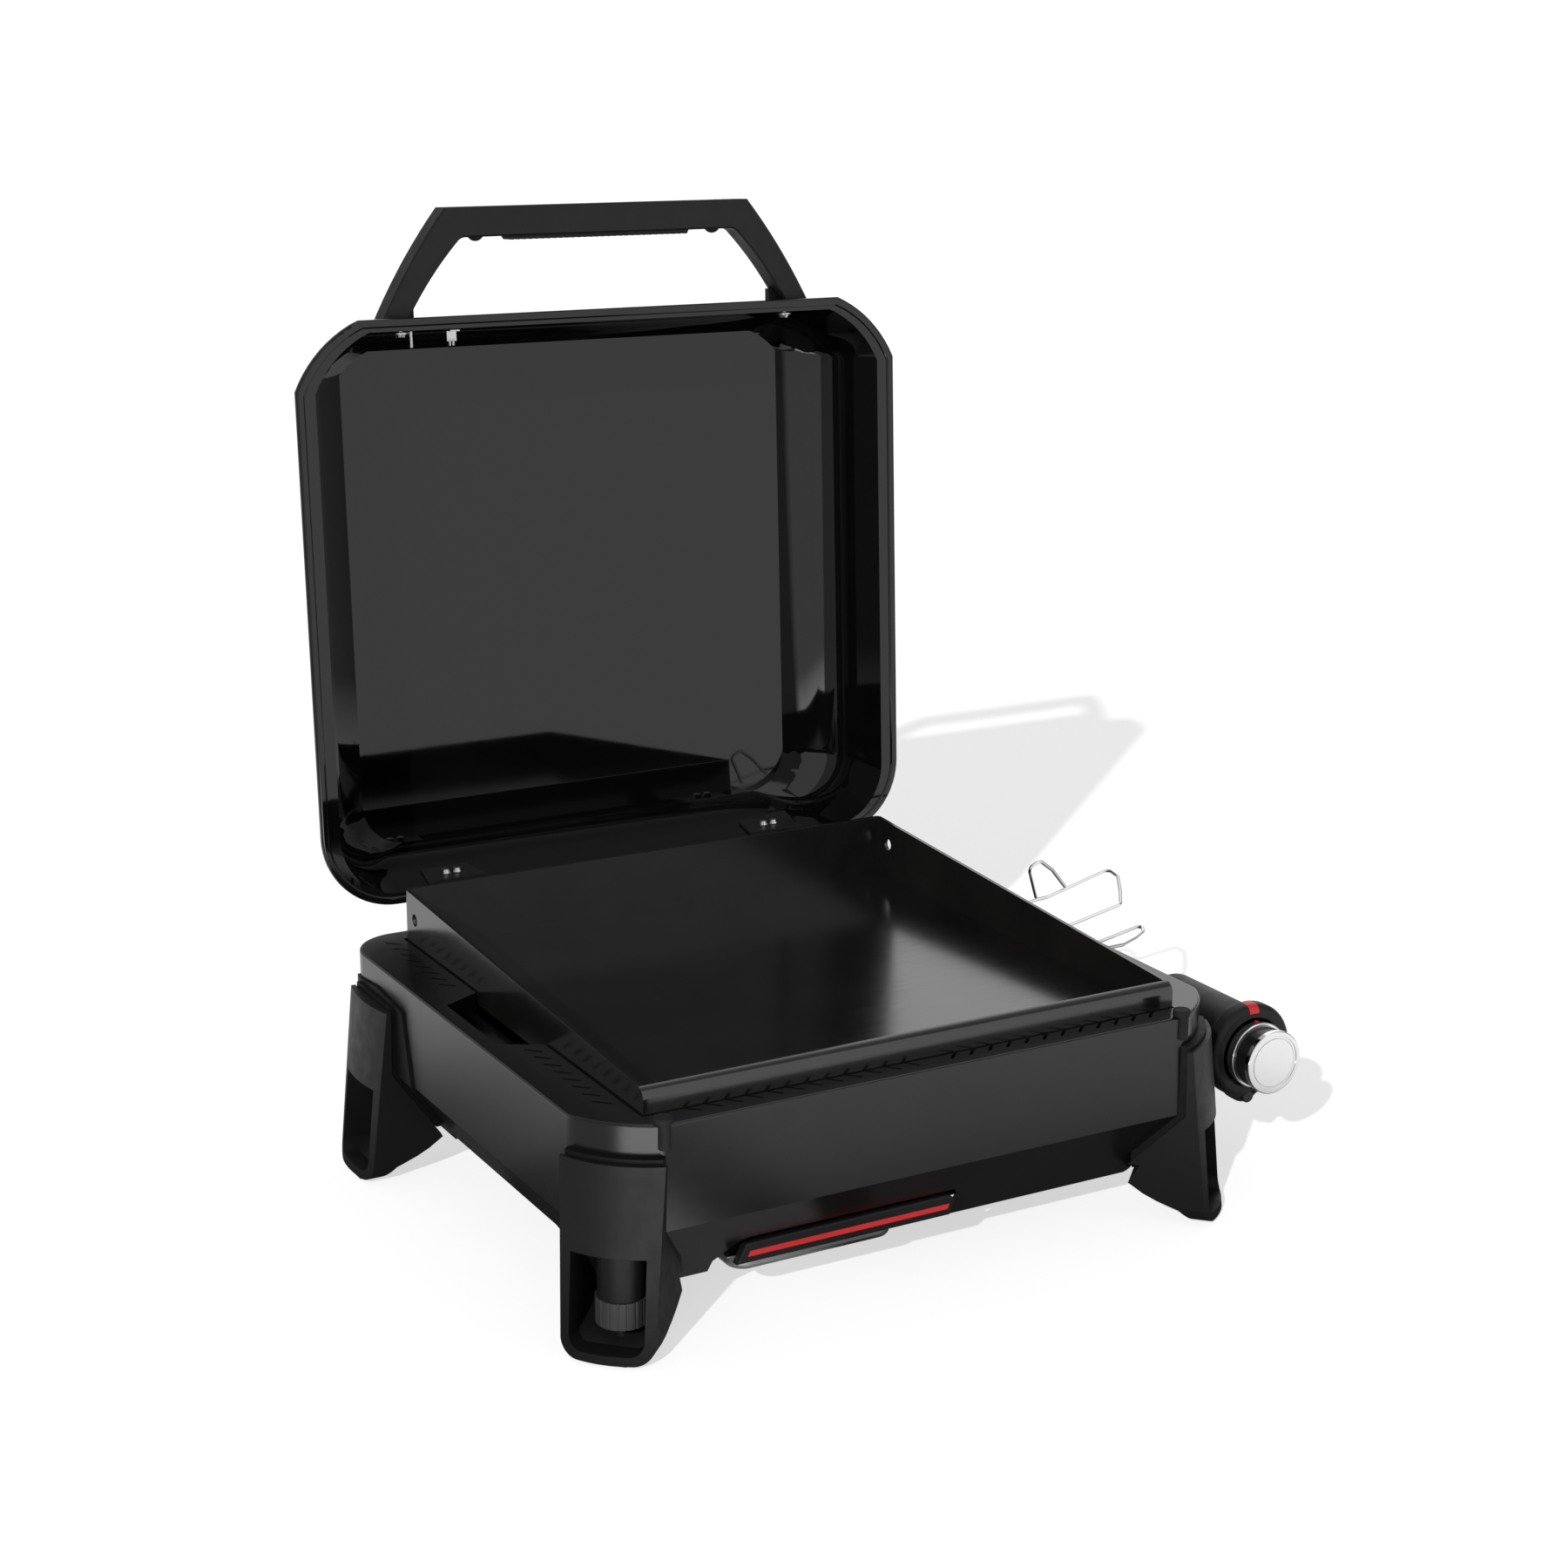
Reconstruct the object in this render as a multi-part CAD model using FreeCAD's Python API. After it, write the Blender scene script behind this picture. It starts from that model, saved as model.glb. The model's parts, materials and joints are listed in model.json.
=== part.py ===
import FreeCAD, Part
import math
import os

# A portable table-top gas griddle: a drawn steel fire box on four legs, a lift-off cooking
# plate with raised walls, a deep hinged lid that stands open, a grease drawer at the front
# and a valve housing with a control knob on the right side.
#
# Millimetres. X is to the right, Y to the back, Z up. The pieces are designed round a point
# on the table in the middle of the fire box, with the lid open, and are moved when they are
# written so that the origin lies under the middle of the whole griddle.

V = FreeCAD.Vector
X_AXIS = V(1, 0, 0)
Y_AXIS = V(0, 1, 0)
Z_AXIS = V(0, 0, 1)

# ---- fire box ----
BODY_HALF = 263.3
BODY_FRONT = -224.2
BODY_BACK = 236.0
BODY_CUT_X = 49.9          # corner cut, measured along X
BODY_CUT_Y = 48.5          # corner cut, measured along Y
BODY_CUT_BULGE = 7.0       # how far the corner face bows out
BODY_BACK_R = 38.0
SHEET = 1.5
DECK_TOP = 167.0
DECK_EDGE_R = 2.0
DECK_SKIRT = 7.0          # height of the deck's turned-down edge
CREASE_Z = 90.0
BODY_LOW = 32.0
TAPER = 41.0               # how far the lower panels lean in
SIDE_NOTCH_Z = 40.0
NOTCH_TOP = 61.5

# ---- cooking plate ----
PLATE_HALF = 220.0
PLATE_FRONT = -203.0
PLATE_BACK = 215.7
PLATE_FLOOR = 160.0
PLATE_T = 3.0
PLATE_FRONT_TOP = 186.0
PLATE_BACK_TOP = 208.6
FRONT_ROLL_R = 8.0
GREASE_HOLE = V(-134.0, -166.0, PLATE_FLOOR)

# ---- deck ----
DECK_GAP = 1.5             # gap between the plate and the deck opening
SLOT_L = 14.0
SLOT_W = 2.4
SLOT_PITCH = 15.75
SLOT_SIDE_X = 233.7
SLOT_FRONT_Y = -207.6
SLOT_FRONT_MID = 6.0       # middle of the two front slot rows
SLOT_FRONT_GAP = 18.0      # first slot each side of that middle
RECESS_OUT = 251.5
RECESS_Y = (-34.0, 58.0)
RECESS_FLARE = 16.0
RECESS_FLOOR = 150.0

# ---- lid ----
LID_LENGTH = 467.9
LID_HALF = 268.8
LID_LEAN = 2.92            # degrees that the open lid leans back
LID_EDGE = V(0, 263.4, 180.3)    # middle of the rear rim edge, lid open
LID_SHEET = 1.6
LID_DEPTH = 86.0
LID_SHOULDER = 46.0        # depth where the wall starts to curve over
LID_ROUND_END = 62.0       # degrees turned where the curve meets the flat top
LID_RINGS = 4
RIM_OUT = 1.5              # the rolled rim stands this far out of the rim plane
RIM_IN = 4.5
RIM_WIDTH = 7.0
HINGE_W = -15.2            # hinge axis in the lid's own frame, along the lid
HINGE_N = 8.45             # and out of the rim plane
HINGE_X = 150.0
STUD_REACH = 443.5         # inner end of the lid's guide pins, clear of a lifted plate
PIN_R = 3.0
PIN_FIT = 0.06

# ---- lid handle ----
HANDLE_NEAR = -9.0         # front and back faces, out of the rim plane
HANDLE_FAR = -30.0
HANDLE_TOP = 551.0
HANDLE_BAR = 23.5
HANDLE_FOOT_X = 194.0
HANDLE_TOP_X = 135.0
HANDLE_ARM = 21.5
HANDLE_BOW = 3.0
GRIP_HALF = 80.0
GRIP_RIBS = 30

# ---- legs ----
LEG_TOP = 141.0
LEG_HALF_TOP = 37.5
LEG_HALF_LOW = 33.5
LEG_OUT_TOP = 9.0
LEG_OUT_LOW = 24.0
LEG_BOW = 8.0
LEG_SEAM = 5.6
LEG_REAR_Y = 165.0
REAR_PLATE_TOP = 50.0      # half widths of the flared plate behind each rear leg
REAR_PLATE_LOW = 66.0
REAR_PLATE_T = 2.2
PAD_H = 2.5
WINDOW_HALF = 27.0
WINDOW_LOW = 9.0
WINDOW_HIGH = 77.0

# ---- valve, knob and gas parts ----
KNOB_X = 320.0
KNOB_Z = 104.6
TUBE_R = 31.5
TUBE_BACK = -69.0
TUBE_SEAM = -157.5
COLLAR_R = 38.0
COLLAR_FLARE = 8.5         # length over which the collar widens from the housing
COLLAR_FRONT = -178.0
KNOB_R = 25.2
KNOB_FRONT = -204.5
PIPE_Y = -118.0
INLET_R = 12.7             # one-inch cylinder thread
BUTTON_R = 5.4
BUTTON_FIT = 0.08
BUTTON_Z = KNOB_Z - 38.0
BURNER_X = 110.0
BURNER_Z = 118.0
BURNER_R = 11.0
BURNER_FEED_R = 12.5

# ---- grease drawer ----
TRAY_X = (-146.5, -14.0)
TRAY_Y = (-196.0, -62.0)
TRAY_Z = (32.0, 46.0)
HANDLE_FACE_Y = -203.0

PARTS = {}


def box(x0, x1, y0, y1, z0, z1):
    """A block between two corners."""
    return Part.makeBox(x1 - x0, y1 - y0, z1 - z0, V(x0, y0, z0))


def rod(radius, start, end):
    """A round bar from one point to another."""
    way = end.sub(start)
    return Part.makeCylinder(radius, way.Length, start, way)


def prism(points, way):
    """A straight-sided block from a closed outline."""
    outline = Part.makePolygon([V(*p) for p in points] + [V(*points[0])])
    return Part.Face(outline).extrude(way)


def fuse(shapes):
    """Join solids and drop the seams between them."""
    joined = shapes[0]
    for shape in shapes[1:]:
        joined = joined.fuse(shape)
    return joined.removeSplitter()


def keep(name, shape):
    """Store one finished piece under its node name."""
    PARTS[name] = shape


def cut_corner_wire(half, cut_y, round_y, cut, bulge, radius, z):
    """Outline with two bowed corner cuts at one end and two round corners at the other."""
    cut_x, cut_len = cut
    way = 1.0 if round_y > cut_y else -1.0
    side_y = cut_y + way * cut_len
    turn_y = round_y - way * radius
    diagonal = math.hypot(cut_x, cut_len)
    mid_x = half - cut_x / 2 + bulge * cut_len / diagonal
    mid_y = cut_y + way * (cut_len / 2 - bulge * cut_x / diagonal)
    knee = radius * (1 - math.sqrt(0.5))
    edges = []

    def line(x0, y0, x1, y1):
        edges.append(Part.makeLine(V(x0, y0, z), V(x1, y1, z)))

    def arc(x0, y0, x1, y1, x2, y2):
        edges.append(Part.Arc(V(x0, y0, z), V(x1, y1, z), V(x2, y2, z)).toShape())

    line(cut_x - half, cut_y, half - cut_x, cut_y)
    arc(half - cut_x, cut_y, mid_x, mid_y, half, side_y)
    line(half, side_y, half, turn_y)
    arc(half, turn_y, half - knee, round_y - way * knee, half - radius, round_y)
    line(half - radius, round_y, radius - half, round_y)
    arc(radius - half, round_y, knee - half, round_y - way * knee, -half, turn_y)
    line(-half, turn_y, -half, side_y)
    arc(-half, side_y, -mid_x, mid_y, cut_x - half, cut_y)
    return Part.Wire(edges)


def body_wire(inset, z):
    """The fire box outline, moved inward by a distance."""
    trim = inset * math.tan(math.radians(22.5))
    cut = (BODY_CUT_X - 2 * trim + inset * 0.24, BODY_CUT_Y - 2 * trim + inset * 0.24)
    bulge = max(1.5, BODY_CUT_BULGE * (1 - inset / 90.0))
    return cut_corner_wire(BODY_HALF - inset, BODY_FRONT + inset, BODY_BACK - inset, cut,
                           bulge, max(4.0, BODY_BACK_R - inset), z)


def body_envelope(grow, top, low):
    """The fire box as a solid, grown outward: straight above the crease, tapered below."""
    slope = TAPER / (CREASE_Z - BODY_LOW)
    inset_low = (CREASE_Z - low) * slope
    wires = [body_wire(-grow, top), body_wire(-grow, CREASE_Z), body_wire(inset_low - grow, low)]
    return Part.makeLoft(wires, True, True)


def body_shell():
    """Drawn steel fire box, open at the top and underneath."""
    top = DECK_TOP - DECK_SKIRT
    shell = body_envelope(0, top, BODY_LOW)
    hollow = body_envelope(-SHEET, top + 1, BODY_LOW - 1)
    shell = shell.cut(hollow)
    drawer_gap = prism([(-161, 0, 20), (-161, 0, 43), (-148, 0, 57.5), (-140, 0, NOTCH_TOP),
                        (30, 0, NOTCH_TOP), (34, 0, 57), (34, 0, 20)], V(0, 60, 0))
    drawer_gap.translate(V(0, -235, 0))
    side_gap = box(-270, 270, -78, 118, 20, SIDE_NOTCH_Z)
    pipe_hole = rod(9.0, V(240, PIPE_Y, KNOB_Z), V(280, PIPE_Y, KNOB_Z))
    for tool in (drawer_gap, side_gap, pipe_hole):
        shell = shell.cut(tool)
    return shell


def slot(x, y, lean):
    """One slanted louvre slot through the deck."""
    half = SLOT_L / 2 - SLOT_W / 2
    low = DECK_TOP - 4
    cutter = box(-half, half, -SLOT_W / 2, SLOT_W / 2, low, DECK_TOP + 1)
    cutter = cutter.fuse(Part.makeCylinder(SLOT_W / 2, 5, V(-half, 0, low)))
    cutter = cutter.fuse(Part.makeCylinder(SLOT_W / 2, 5, V(half, 0, low)))
    cutter.rotate(V(0, 0, 0), Z_AXIS, lean)
    cutter.translate(V(x, y, 0))
    return cutter


def deck_slots():
    """All the slots: two groups on each side deck and two rows along the front."""
    cutters = []
    for side in (-1, 1):
        for i in range(8):
            cutters.append(slot(side * SLOT_SIDE_X, -57.8 - i * SLOT_PITCH, side * 45))
        for i in range(8):
            cutters.append(slot(side * SLOT_SIDE_X, 98.8 + i * SLOT_PITCH, side * 45))
        for i in range(12):
            x = SLOT_FRONT_MID + side * (SLOT_FRONT_GAP + i * SLOT_PITCH)
            cutters.append(slot(x, SLOT_FRONT_Y, side * 45))
    return cutters


def recess_prism(side, shrink, z0, z1):
    """The hand recess beside the plate, as a block between two heights."""
    inner = side * (PLATE_HALF + DECK_GAP - 1 + shrink)
    outer = side * (RECESS_OUT - shrink)
    y0, y1 = RECESS_Y
    points = [(outer, y0 + shrink, z0), (outer, y1 - shrink, z0),
              (inner, y1 + RECESS_FLARE - shrink, z0), (inner, y0 - RECESS_FLARE + shrink, z0)]
    return prism(points, V(0, 0, z1 - z0))


def deck_frame():
    """Top deck of the fire box, with louvre slots, hand recesses and a flange round the plate."""
    skirt_low = DECK_TOP - DECK_SKIRT
    deck = Part.Face(body_wire(0, skirt_low)).extrude(V(0, 0, DECK_SKIRT))
    deck = deck.makeFillet(DECK_EDGE_R, [e for e in deck.Edges if e.BoundBox.ZMin > DECK_TOP - 0.1])
    under = Part.Face(body_wire(SHEET, skirt_low - 1)).extrude(V(0, 0, DECK_SKIRT + 1 - SHEET))
    top_edges = [e for e in under.Edges if e.BoundBox.ZMin > DECK_TOP - SHEET - 0.1]
    deck = deck.cut(under.makeFillet(DECK_EDGE_R - SHEET, top_edges))
    x = PLATE_HALF + DECK_GAP
    y0 = PLATE_FRONT - DECK_GAP
    y1 = PLATE_BACK + DECK_GAP
    low = DECK_TOP - 14
    flange = box(-x - SHEET, x + SHEET, y0 - SHEET, y1 + SHEET, low, DECK_TOP)
    deck = deck.fuse(flange)
    for side in (-1, 1):
        deck = deck.fuse(recess_prism(side, -SHEET, RECESS_FLOOR - SHEET, DECK_TOP))
    deck = deck.cut(box(-x, x, y0, y1, RECESS_FLOOR - 9, DECK_TOP + 1))
    for side in (-1, 1):
        deck = deck.cut(recess_prism(side, 0, RECESS_FLOOR, DECK_TOP + 1))
    return deck.cut(Part.makeCompound(deck_slots())).removeSplitter()


def cooking_plate():
    """Carbon steel plate: floor, sloping side walls, tall back and rolled front."""
    front, back, half = PLATE_FRONT, PLATE_BACK, PLATE_HALF
    low = PLATE_FLOOR - PLATE_T
    r = FRONT_ROLL_R
    knee = r * (1 - math.sqrt(0.5))

    def side_face(inset, floor, lift):
        """Side view of the plate, moved inward."""
        f, b, roll = front + inset, back - inset, r - inset
        turn = knee * roll / r
        top = PLATE_FRONT_TOP + lift
        edges = [
            Part.makeLine(V(0, f, floor), V(0, f, PLATE_FRONT_TOP - r)),
            Part.Arc(V(0, f, PLATE_FRONT_TOP - r), V(0, f + turn, PLATE_FRONT_TOP - inset - turn),
                     V(0, f + roll, PLATE_FRONT_TOP - inset)).toShape(),
            Part.makeLine(V(0, f + roll, PLATE_FRONT_TOP - inset), V(0, f + roll + 0.5, top)),
            Part.makeLine(V(0, f + roll + 0.5, top), V(0, b, PLATE_BACK_TOP + lift)),
            Part.makeLine(V(0, b, PLATE_BACK_TOP + lift), V(0, b, floor)),
            Part.makeLine(V(0, b, floor), V(0, f, floor))]
        return Part.Face(Part.Wire(edges))

    outer = side_face(0, low, 0.2)
    outer.translate(V(-half, 0, 0))
    plate = outer.extrude(V(2 * half, 0, 0))
    inner = side_face(PLATE_T, PLATE_FLOOR, 8)
    inner.translate(V(PLATE_T - half, 0, 0))
    plate = plate.cut(inner.extrude(V(2 * (half - PLATE_T), 0, 0)))
    corners = []
    for edge in plate.Edges:
        a, b = edge.Vertexes[0].Point, edge.Vertexes[-1].Point
        upright = abs(a.x - b.x) < 0.01 and abs(a.y - b.y) < 0.01 and abs(a.z - b.z) > 15
        if upright and abs(abs(a.x) - half) < 0.01 and a.y > 0:
            corners.append(edge)
    plate = plate.makeFillet(4.0, corners)
    drain = Part.makeCylinder(9.0, 10, V(GREASE_HOLE.x, GREASE_HOLE.y, low - 2))
    hand_holes = rod(5.0, V(-half - 5, 196, 188), V(half + 5, 196, 188))
    return plate.cut(drain).cut(hand_holes)


def plate_rests():
    """Four posts inside the fire box that carry the cooking plate."""
    posts = []
    for x in (-196, 196):
        for y in (-160, 189):
            side = 1 if x > 0 else -1
            post = box(x - 7, x + 7, y - 7, y + 7, PLATE_FLOOR - PLATE_T - 12,
                       PLATE_FLOOR - PLATE_T)
            arm_end = side * (BODY_HALF - SHEET)
            arm = box(min(x, arm_end), max(x, arm_end), y - 7, y + 7, PLATE_FLOOR - PLATE_T - 15,
                      PLATE_FLOOR - PLATE_T - 12)
            posts.append(post.fuse(arm).removeSplitter())
    return posts


def bottom_pan():
    """Drip pan that closes the fire box below the burner, with the grease opening."""
    z = 52.0
    inset = TAPER * (CREASE_Z - z) / (CREASE_Z - BODY_LOW) + SHEET + 2.2
    pan = Part.Face(body_wire(inset, z)).extrude(V(0, 0, SHEET))
    return pan.cut(box(-146, -24, -176, -84, z - 1, z + 5))


def burner_tube():
    """Steel burner: a feed tube across the front and two runs toward the back."""
    feed_start = -150.0
    feed_end = 228.0
    runs_end = 160.0
    wall = 1.2
    cap = 1.5
    nozzle_r = 8.0

    def tubes(shrink, trim):
        """Feed tube and runs as one solid, thinner by shrink and shorter by trim at each end."""
        start = V(feed_start + trim, PIPE_Y, BURNER_Z)
        shapes = [rod(BURNER_FEED_R - shrink, start, V(feed_end - trim, PIPE_Y, BURNER_Z))]
        for x in (-BURNER_X, BURNER_X):
            shapes.append(rod(BURNER_R - shrink, V(x, PIPE_Y, BURNER_Z), V(x, runs_end - trim, BURNER_Z)))
        return fuse(shapes)

    burner = tubes(0, 0).cut(tubes(wall, cap))
    burner = burner.cut(rod(nozzle_r, V(feed_end - 2 * cap, PIPE_Y, BURNER_Z),
                            V(feed_end + cap, PIPE_Y, BURNER_Z)))
    ports = []
    for x in (-BURNER_X, BURNER_X):
        for i in range(14):
            y = PIPE_Y + 26 + i * 18
            for lean in (-1, 1):
                start = V(x, y, BURNER_Z)
                ports.append(rod(1.5, start, start.add(V(lean * 14, 0, 10))))
    return burner.cut(Part.makeCompound(ports))


def burner_brackets():
    """Two saddles that hold the burner runs off the drip pan."""
    saddles = []
    for x in (-BURNER_X, BURNER_X):
        base = 52.0 + SHEET
        saddle = box(x - 14, x + 14, 118, 121, base, BURNER_Z)
        saddle = saddle.cut(rod(BURNER_R + 0.1, V(x, 100, BURNER_Z), V(x, 140, BURNER_Z)))
        foot = box(x - 14, x + 14, 118, 134, base, base + 2)
        saddles.append(saddle.fuse(foot).removeSplitter())
    return saddles


def igniter_electrode():
    """Ceramic spark electrode beside the right burner run."""
    x = BURNER_X + 22
    ceramic = rod(4.0, V(x, -70, 52 + SHEET), V(x, -70, BURNER_Z - 4))
    tip = rod(1.2, V(x, -70, BURNER_Z - 4), V(x, -70, BURNER_Z + 12))
    bent = rod(1.2, V(x, -70, BURNER_Z + 12), V(x - 6, -70, BURNER_Z + 16))
    return fuse([ceramic, tip, bent])


def lid_place(shape):
    """Move a shape from the lid's own frame to where the open lid stands."""
    shape.rotate(V(0, 0, 0), X_AXIS, 90 - LID_LEAN)
    shape.translate(LID_EDGE)
    return shape


def lid_wires(grow, drop):
    """Outlines of the lid: the rim, then rings over the rounded shoulder to the flat top."""
    rings = [cut_corner_wire(253 + grow, 458 + grow, 9 - grow, (46, 45), 6, 50 + grow, 1)]
    end = math.radians(LID_ROUND_END)
    for i in range(LID_RINGS + 1):
        turned = end * i / LID_RINGS
        inward = (1 - math.cos(turned)) / (1 - math.cos(end))
        up = math.sin(turned) / math.sin(end)
        z = -LID_SHOULDER - (LID_DEPTH - LID_SHOULDER - drop) * up
        half = 249 - 48 * inward + grow
        cut_y = 455 - 17.5 * inward + grow
        round_y = 13 + 15 * inward - grow
        cut = (45 - 20 * inward, 43 - 25 * inward)
        rings.append(cut_corner_wire(half, cut_y, round_y, cut, 6 - 4 * inward, 48 - 12 * inward + grow, z))
    return rings


def lid_solids():
    """The lid as a filled block and the hollow inside it."""
    outer = Part.makeLoft(lid_wires(LID_SHEET, -LID_SHEET), True, True)
    inner = Part.makeLoft(lid_wires(0, 0), True, True)
    wall = outer.cut(box(-300, 300, -50, 520, 0, 30))

    def ring_wire(inset, z):
        """Rim outline moved inward."""
        return cut_corner_wire(LID_HALF - inset, LID_LENGTH - inset, inset,
                               (53.9 - inset * 0.5, 52.3 - inset * 0.5), 7, 62 - inset, z)

    flange = Part.Face(ring_wire(RIM_WIDTH - 1, -LID_SHEET)).extrude(V(0, 0, LID_SHEET))
    bead = Part.Face(ring_wire(0, -RIM_IN)).extrude(V(0, 0, RIM_IN + RIM_OUT))
    bead = bead.cut(Part.Face(ring_wire(RIM_WIDTH, -RIM_IN - 1)).extrude(V(0, 0, 12)))
    round_edges = [e for e in bead.Edges if abs(e.Vertexes[0].Z - e.Vertexes[-1].Z) < 0.01]
    bead = bead.makeFillet(2.2, round_edges)
    return wall.fuse(flange).fuse(bead), inner


def lid_shell(filled, hollow):
    """Enamelled lid: deep drawn walls, flat top, flange and rolled rim."""
    lid = filled.cut(hollow)
    for side in (-1, 1):
        lid = lid.cut(hinge_holes(side))
        lid = lid.cut(rod(2.6, V(side * 173.2, 445, -19.5), V(side * 173.2, 475, -19.5)))
    return lid.removeSplitter()


def hinge_holes(side):
    """Drill for the two screws of one hinge."""
    x = side * HINGE_X
    return Part.makeCompound([rod(2.1, V(x + dx, -5, -24), V(x + dx, 30, -24)) for dx in (-5, 5)])


def handle_frame():
    """One-piece lid handle: two bowed arms and a cross bar."""
    foot_w = 460.2
    bar_low = HANDLE_TOP - HANDLE_BAR
    foot_in = HANDLE_FOOT_X - HANDLE_ARM
    top_in = HANDLE_TOP_X - 13

    def bowed(x0, w0, x1, w1):
        """A side line of an arm, bowed outward."""
        length = math.hypot(x1 - x0, w1 - w0)
        nx, nw = (w1 - w0) / length, -(x1 - x0) / length
        sign = 1 if nx * (x0 + x1) > 0 else -1
        mid = V((x0 + x1) / 2 + sign * nx * HANDLE_BOW, (w0 + w1) / 2 + sign * nw * HANDLE_BOW, 0)
        return Part.Arc(V(x0, w0, 0), mid, V(x1, w1, 0)).toShape()

    def line(x0, w0, x1, w1):
        return Part.makeLine(V(x0, w0, 0), V(x1, w1, 0))

    edges = [
        line(-foot_in, foot_w, -HANDLE_FOOT_X, foot_w),
        bowed(-HANDLE_FOOT_X, foot_w, -HANDLE_TOP_X, HANDLE_TOP),
        line(-HANDLE_TOP_X, HANDLE_TOP, HANDLE_TOP_X, HANDLE_TOP),
        bowed(HANDLE_TOP_X, HANDLE_TOP, HANDLE_FOOT_X, foot_w),
        line(HANDLE_FOOT_X, foot_w, foot_in, foot_w),
        bowed(foot_in, foot_w, top_in, bar_low),
        line(top_in, bar_low, -top_in, bar_low),
        bowed(-top_in, bar_low, -foot_in, foot_w)]
    outline = Part.Face(Part.Wire(edges))
    outline.translate(V(0, 0, HANDLE_FAR))
    frame = outline.extrude(V(0, 0, HANDLE_NEAR - HANDLE_FAR))
    inside = [e for e in frame.Edges
              if abs(e.Vertexes[0].Y - bar_low) < 0.01 and abs(e.Vertexes[-1].Y - bar_low) < 0.01
              and abs(e.Vertexes[0].Z - e.Vertexes[-1].Z) > 1]
    frame = frame.makeFillet(9.0, inside)
    faces = (HANDLE_NEAR, HANDLE_FAR)
    rims = [e for e in frame.Edges if e.BoundBox.ZLength < 0.01 and e.BoundBox.YMax > foot_w + 5
            and min(abs(e.BoundBox.ZMin - z) for z in faces) < 0.01]
    frame = frame.makeChamfer(1.4, rims)
    for side in (-1, 1):
        lug = box(min(side * 160, side * 174), max(side * 160, side * 174), foot_w, foot_w + 16, -28, -22)
        frame = frame.fuse(lug)
        bore = rod(2.1, V(side * 173.2, foot_w - 1, -19.5), V(side * 173.2, foot_w + 20, -19.5))
        frame = frame.cut(bore)
    return frame.removeSplitter()


def handle_grip():
    """Soft grip strip under the cross bar, scalloped for the fingers."""
    bar_low = HANDLE_TOP - HANDLE_BAR
    strip = box(-GRIP_HALF, GRIP_HALF, bar_low - 1.0, bar_low, -28, -11)
    pitch = 2 * GRIP_HALF / GRIP_RIBS
    ribs = []
    for i in range(GRIP_RIBS):
        x = -GRIP_HALF + pitch * (i + 0.5)
        ribs.append(rod(pitch * 0.4, V(x, bar_low - 1.0, -28), V(x, bar_low - 1.0, -11)))
    bar = box(-GRIP_HALF - 5, GRIP_HALF + 5, bar_low, bar_low + 10, -40, 0)
    return fuse([strip] + ribs).cut(bar)


def handle_buttons():
    """Two soft buttons under the cross bar, outside the grip."""
    bar_low = HANDLE_TOP - HANDLE_BAR
    buttons = []
    for side in (-1, 1):
        dome = Part.makeSphere(7.0, V(side * 106, bar_low + 3.5, -19.5))
        buttons.append(dome.common(box(side * 106 - 9, side * 106 + 9, bar_low - 9, bar_low, -30, -9)))
    return buttons


def handle_screws():
    """Screw and washer inside the lid at each end of the handle."""
    screws = []
    for side in (-1, 1):
        x = side * 173.2
        washer = rod(6.5, V(x, 454.4, -19.5), V(x, 456.0, -19.5))
        head = Part.makeCone(4.6, 3.4, 2.6, V(x, 454.4, -19.5), V(0, -1, 0))
        shank = rod(1.95, V(x, 456.0, -19.5), V(x, 478, -19.5))
        screws.append(fuse([washer, head, shank]))
    return screws


def lid_stud():
    """Short guide pin inside the lid beside the left handle screw."""
    return rod(1.6, V(-164.5, 456.2, -19.5), V(-164.5, STUD_REACH, -19.5))


def lid_clip():
    """Spring steel clip inside the lid with two pins."""
    strip = box(-134, -126, 447, 456.2, -20.4, -19.2)
    foot = box(-134, -126, 455.0, 456.2, -26, -12)
    pins = [rod(1.1, V(x, 449, -19.8), V(x, STUD_REACH, -19.8)) for x in (-131.6, -128.6)]
    return fuse([strip, foot] + pins)


def lid_hinge_leaf(side, filled):
    """Outer hinge leaf on the lid: barrel, neck and screw pad."""
    x = side * HINGE_X
    x0, x1 = x - 13, x + 13
    barrel = rod(6.5, V(x0, HINGE_W, HINGE_N), V(x1, HINGE_W, HINGE_N))
    neck = prism([(x0, -20, 3.5), (x0, -16.5, 13.5), (x0, -9.6, 9.0), (x0, -3.4, -8.0),
                  (x0, 9.5, -8.0), (x0, 12, -40), (x0, 7.9, -40), (x0, 5.6, -12.0),
                  (x0, -7.0, -11.0)], V(26, 0, 0))
    leaf = barrel.fuse(neck)
    leaf = leaf.cut(rod(PIN_R + PIN_FIT, V(x0 - 1, HINGE_W, HINGE_N), V(x1 + 1, HINGE_W, HINGE_N)))
    return leaf.cut(hinge_holes(side)).cut(filled).removeSplitter()


def lid_hinge_plate(side, hollow):
    """Backing plate inside the lid under the hinge screws."""
    x = side * HINGE_X
    plate = prism([(x - 26, 5, -9), (x + 26, 5, -9), (x + 20, 5, -41), (x - 20, 5, -41)], V(0, 30, 0))
    thick = hollow.copy()
    thick.translate(V(0, 2.2, 0))
    return plate.common(hollow).cut(thick).cut(hinge_holes(side))


def lid_hinge_screws(others):
    """Two pan head screws through each hinge."""
    screws = []
    for side in (-1, 1):
        for dx in (-5, 5):
            x = side * HINGE_X + dx
            head = Part.makeCone(4.2, 3.0, 3.2, V(x, 13.4, -24), V(0, 1, 0))
            shank = rod(1.95, V(x, 14.2, -24), V(x, 4.0, -24))
            nut = rod(3.6, V(x, 7.0, -24), V(x, 3.4, -24))
            screw = fuse([head, shank, nut])
            for other in others:
                screw = screw.cut(other)
            screws.append(sorted(screw.Solids, key=lambda solid: -solid.Volume)[0])
    return screws


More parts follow.
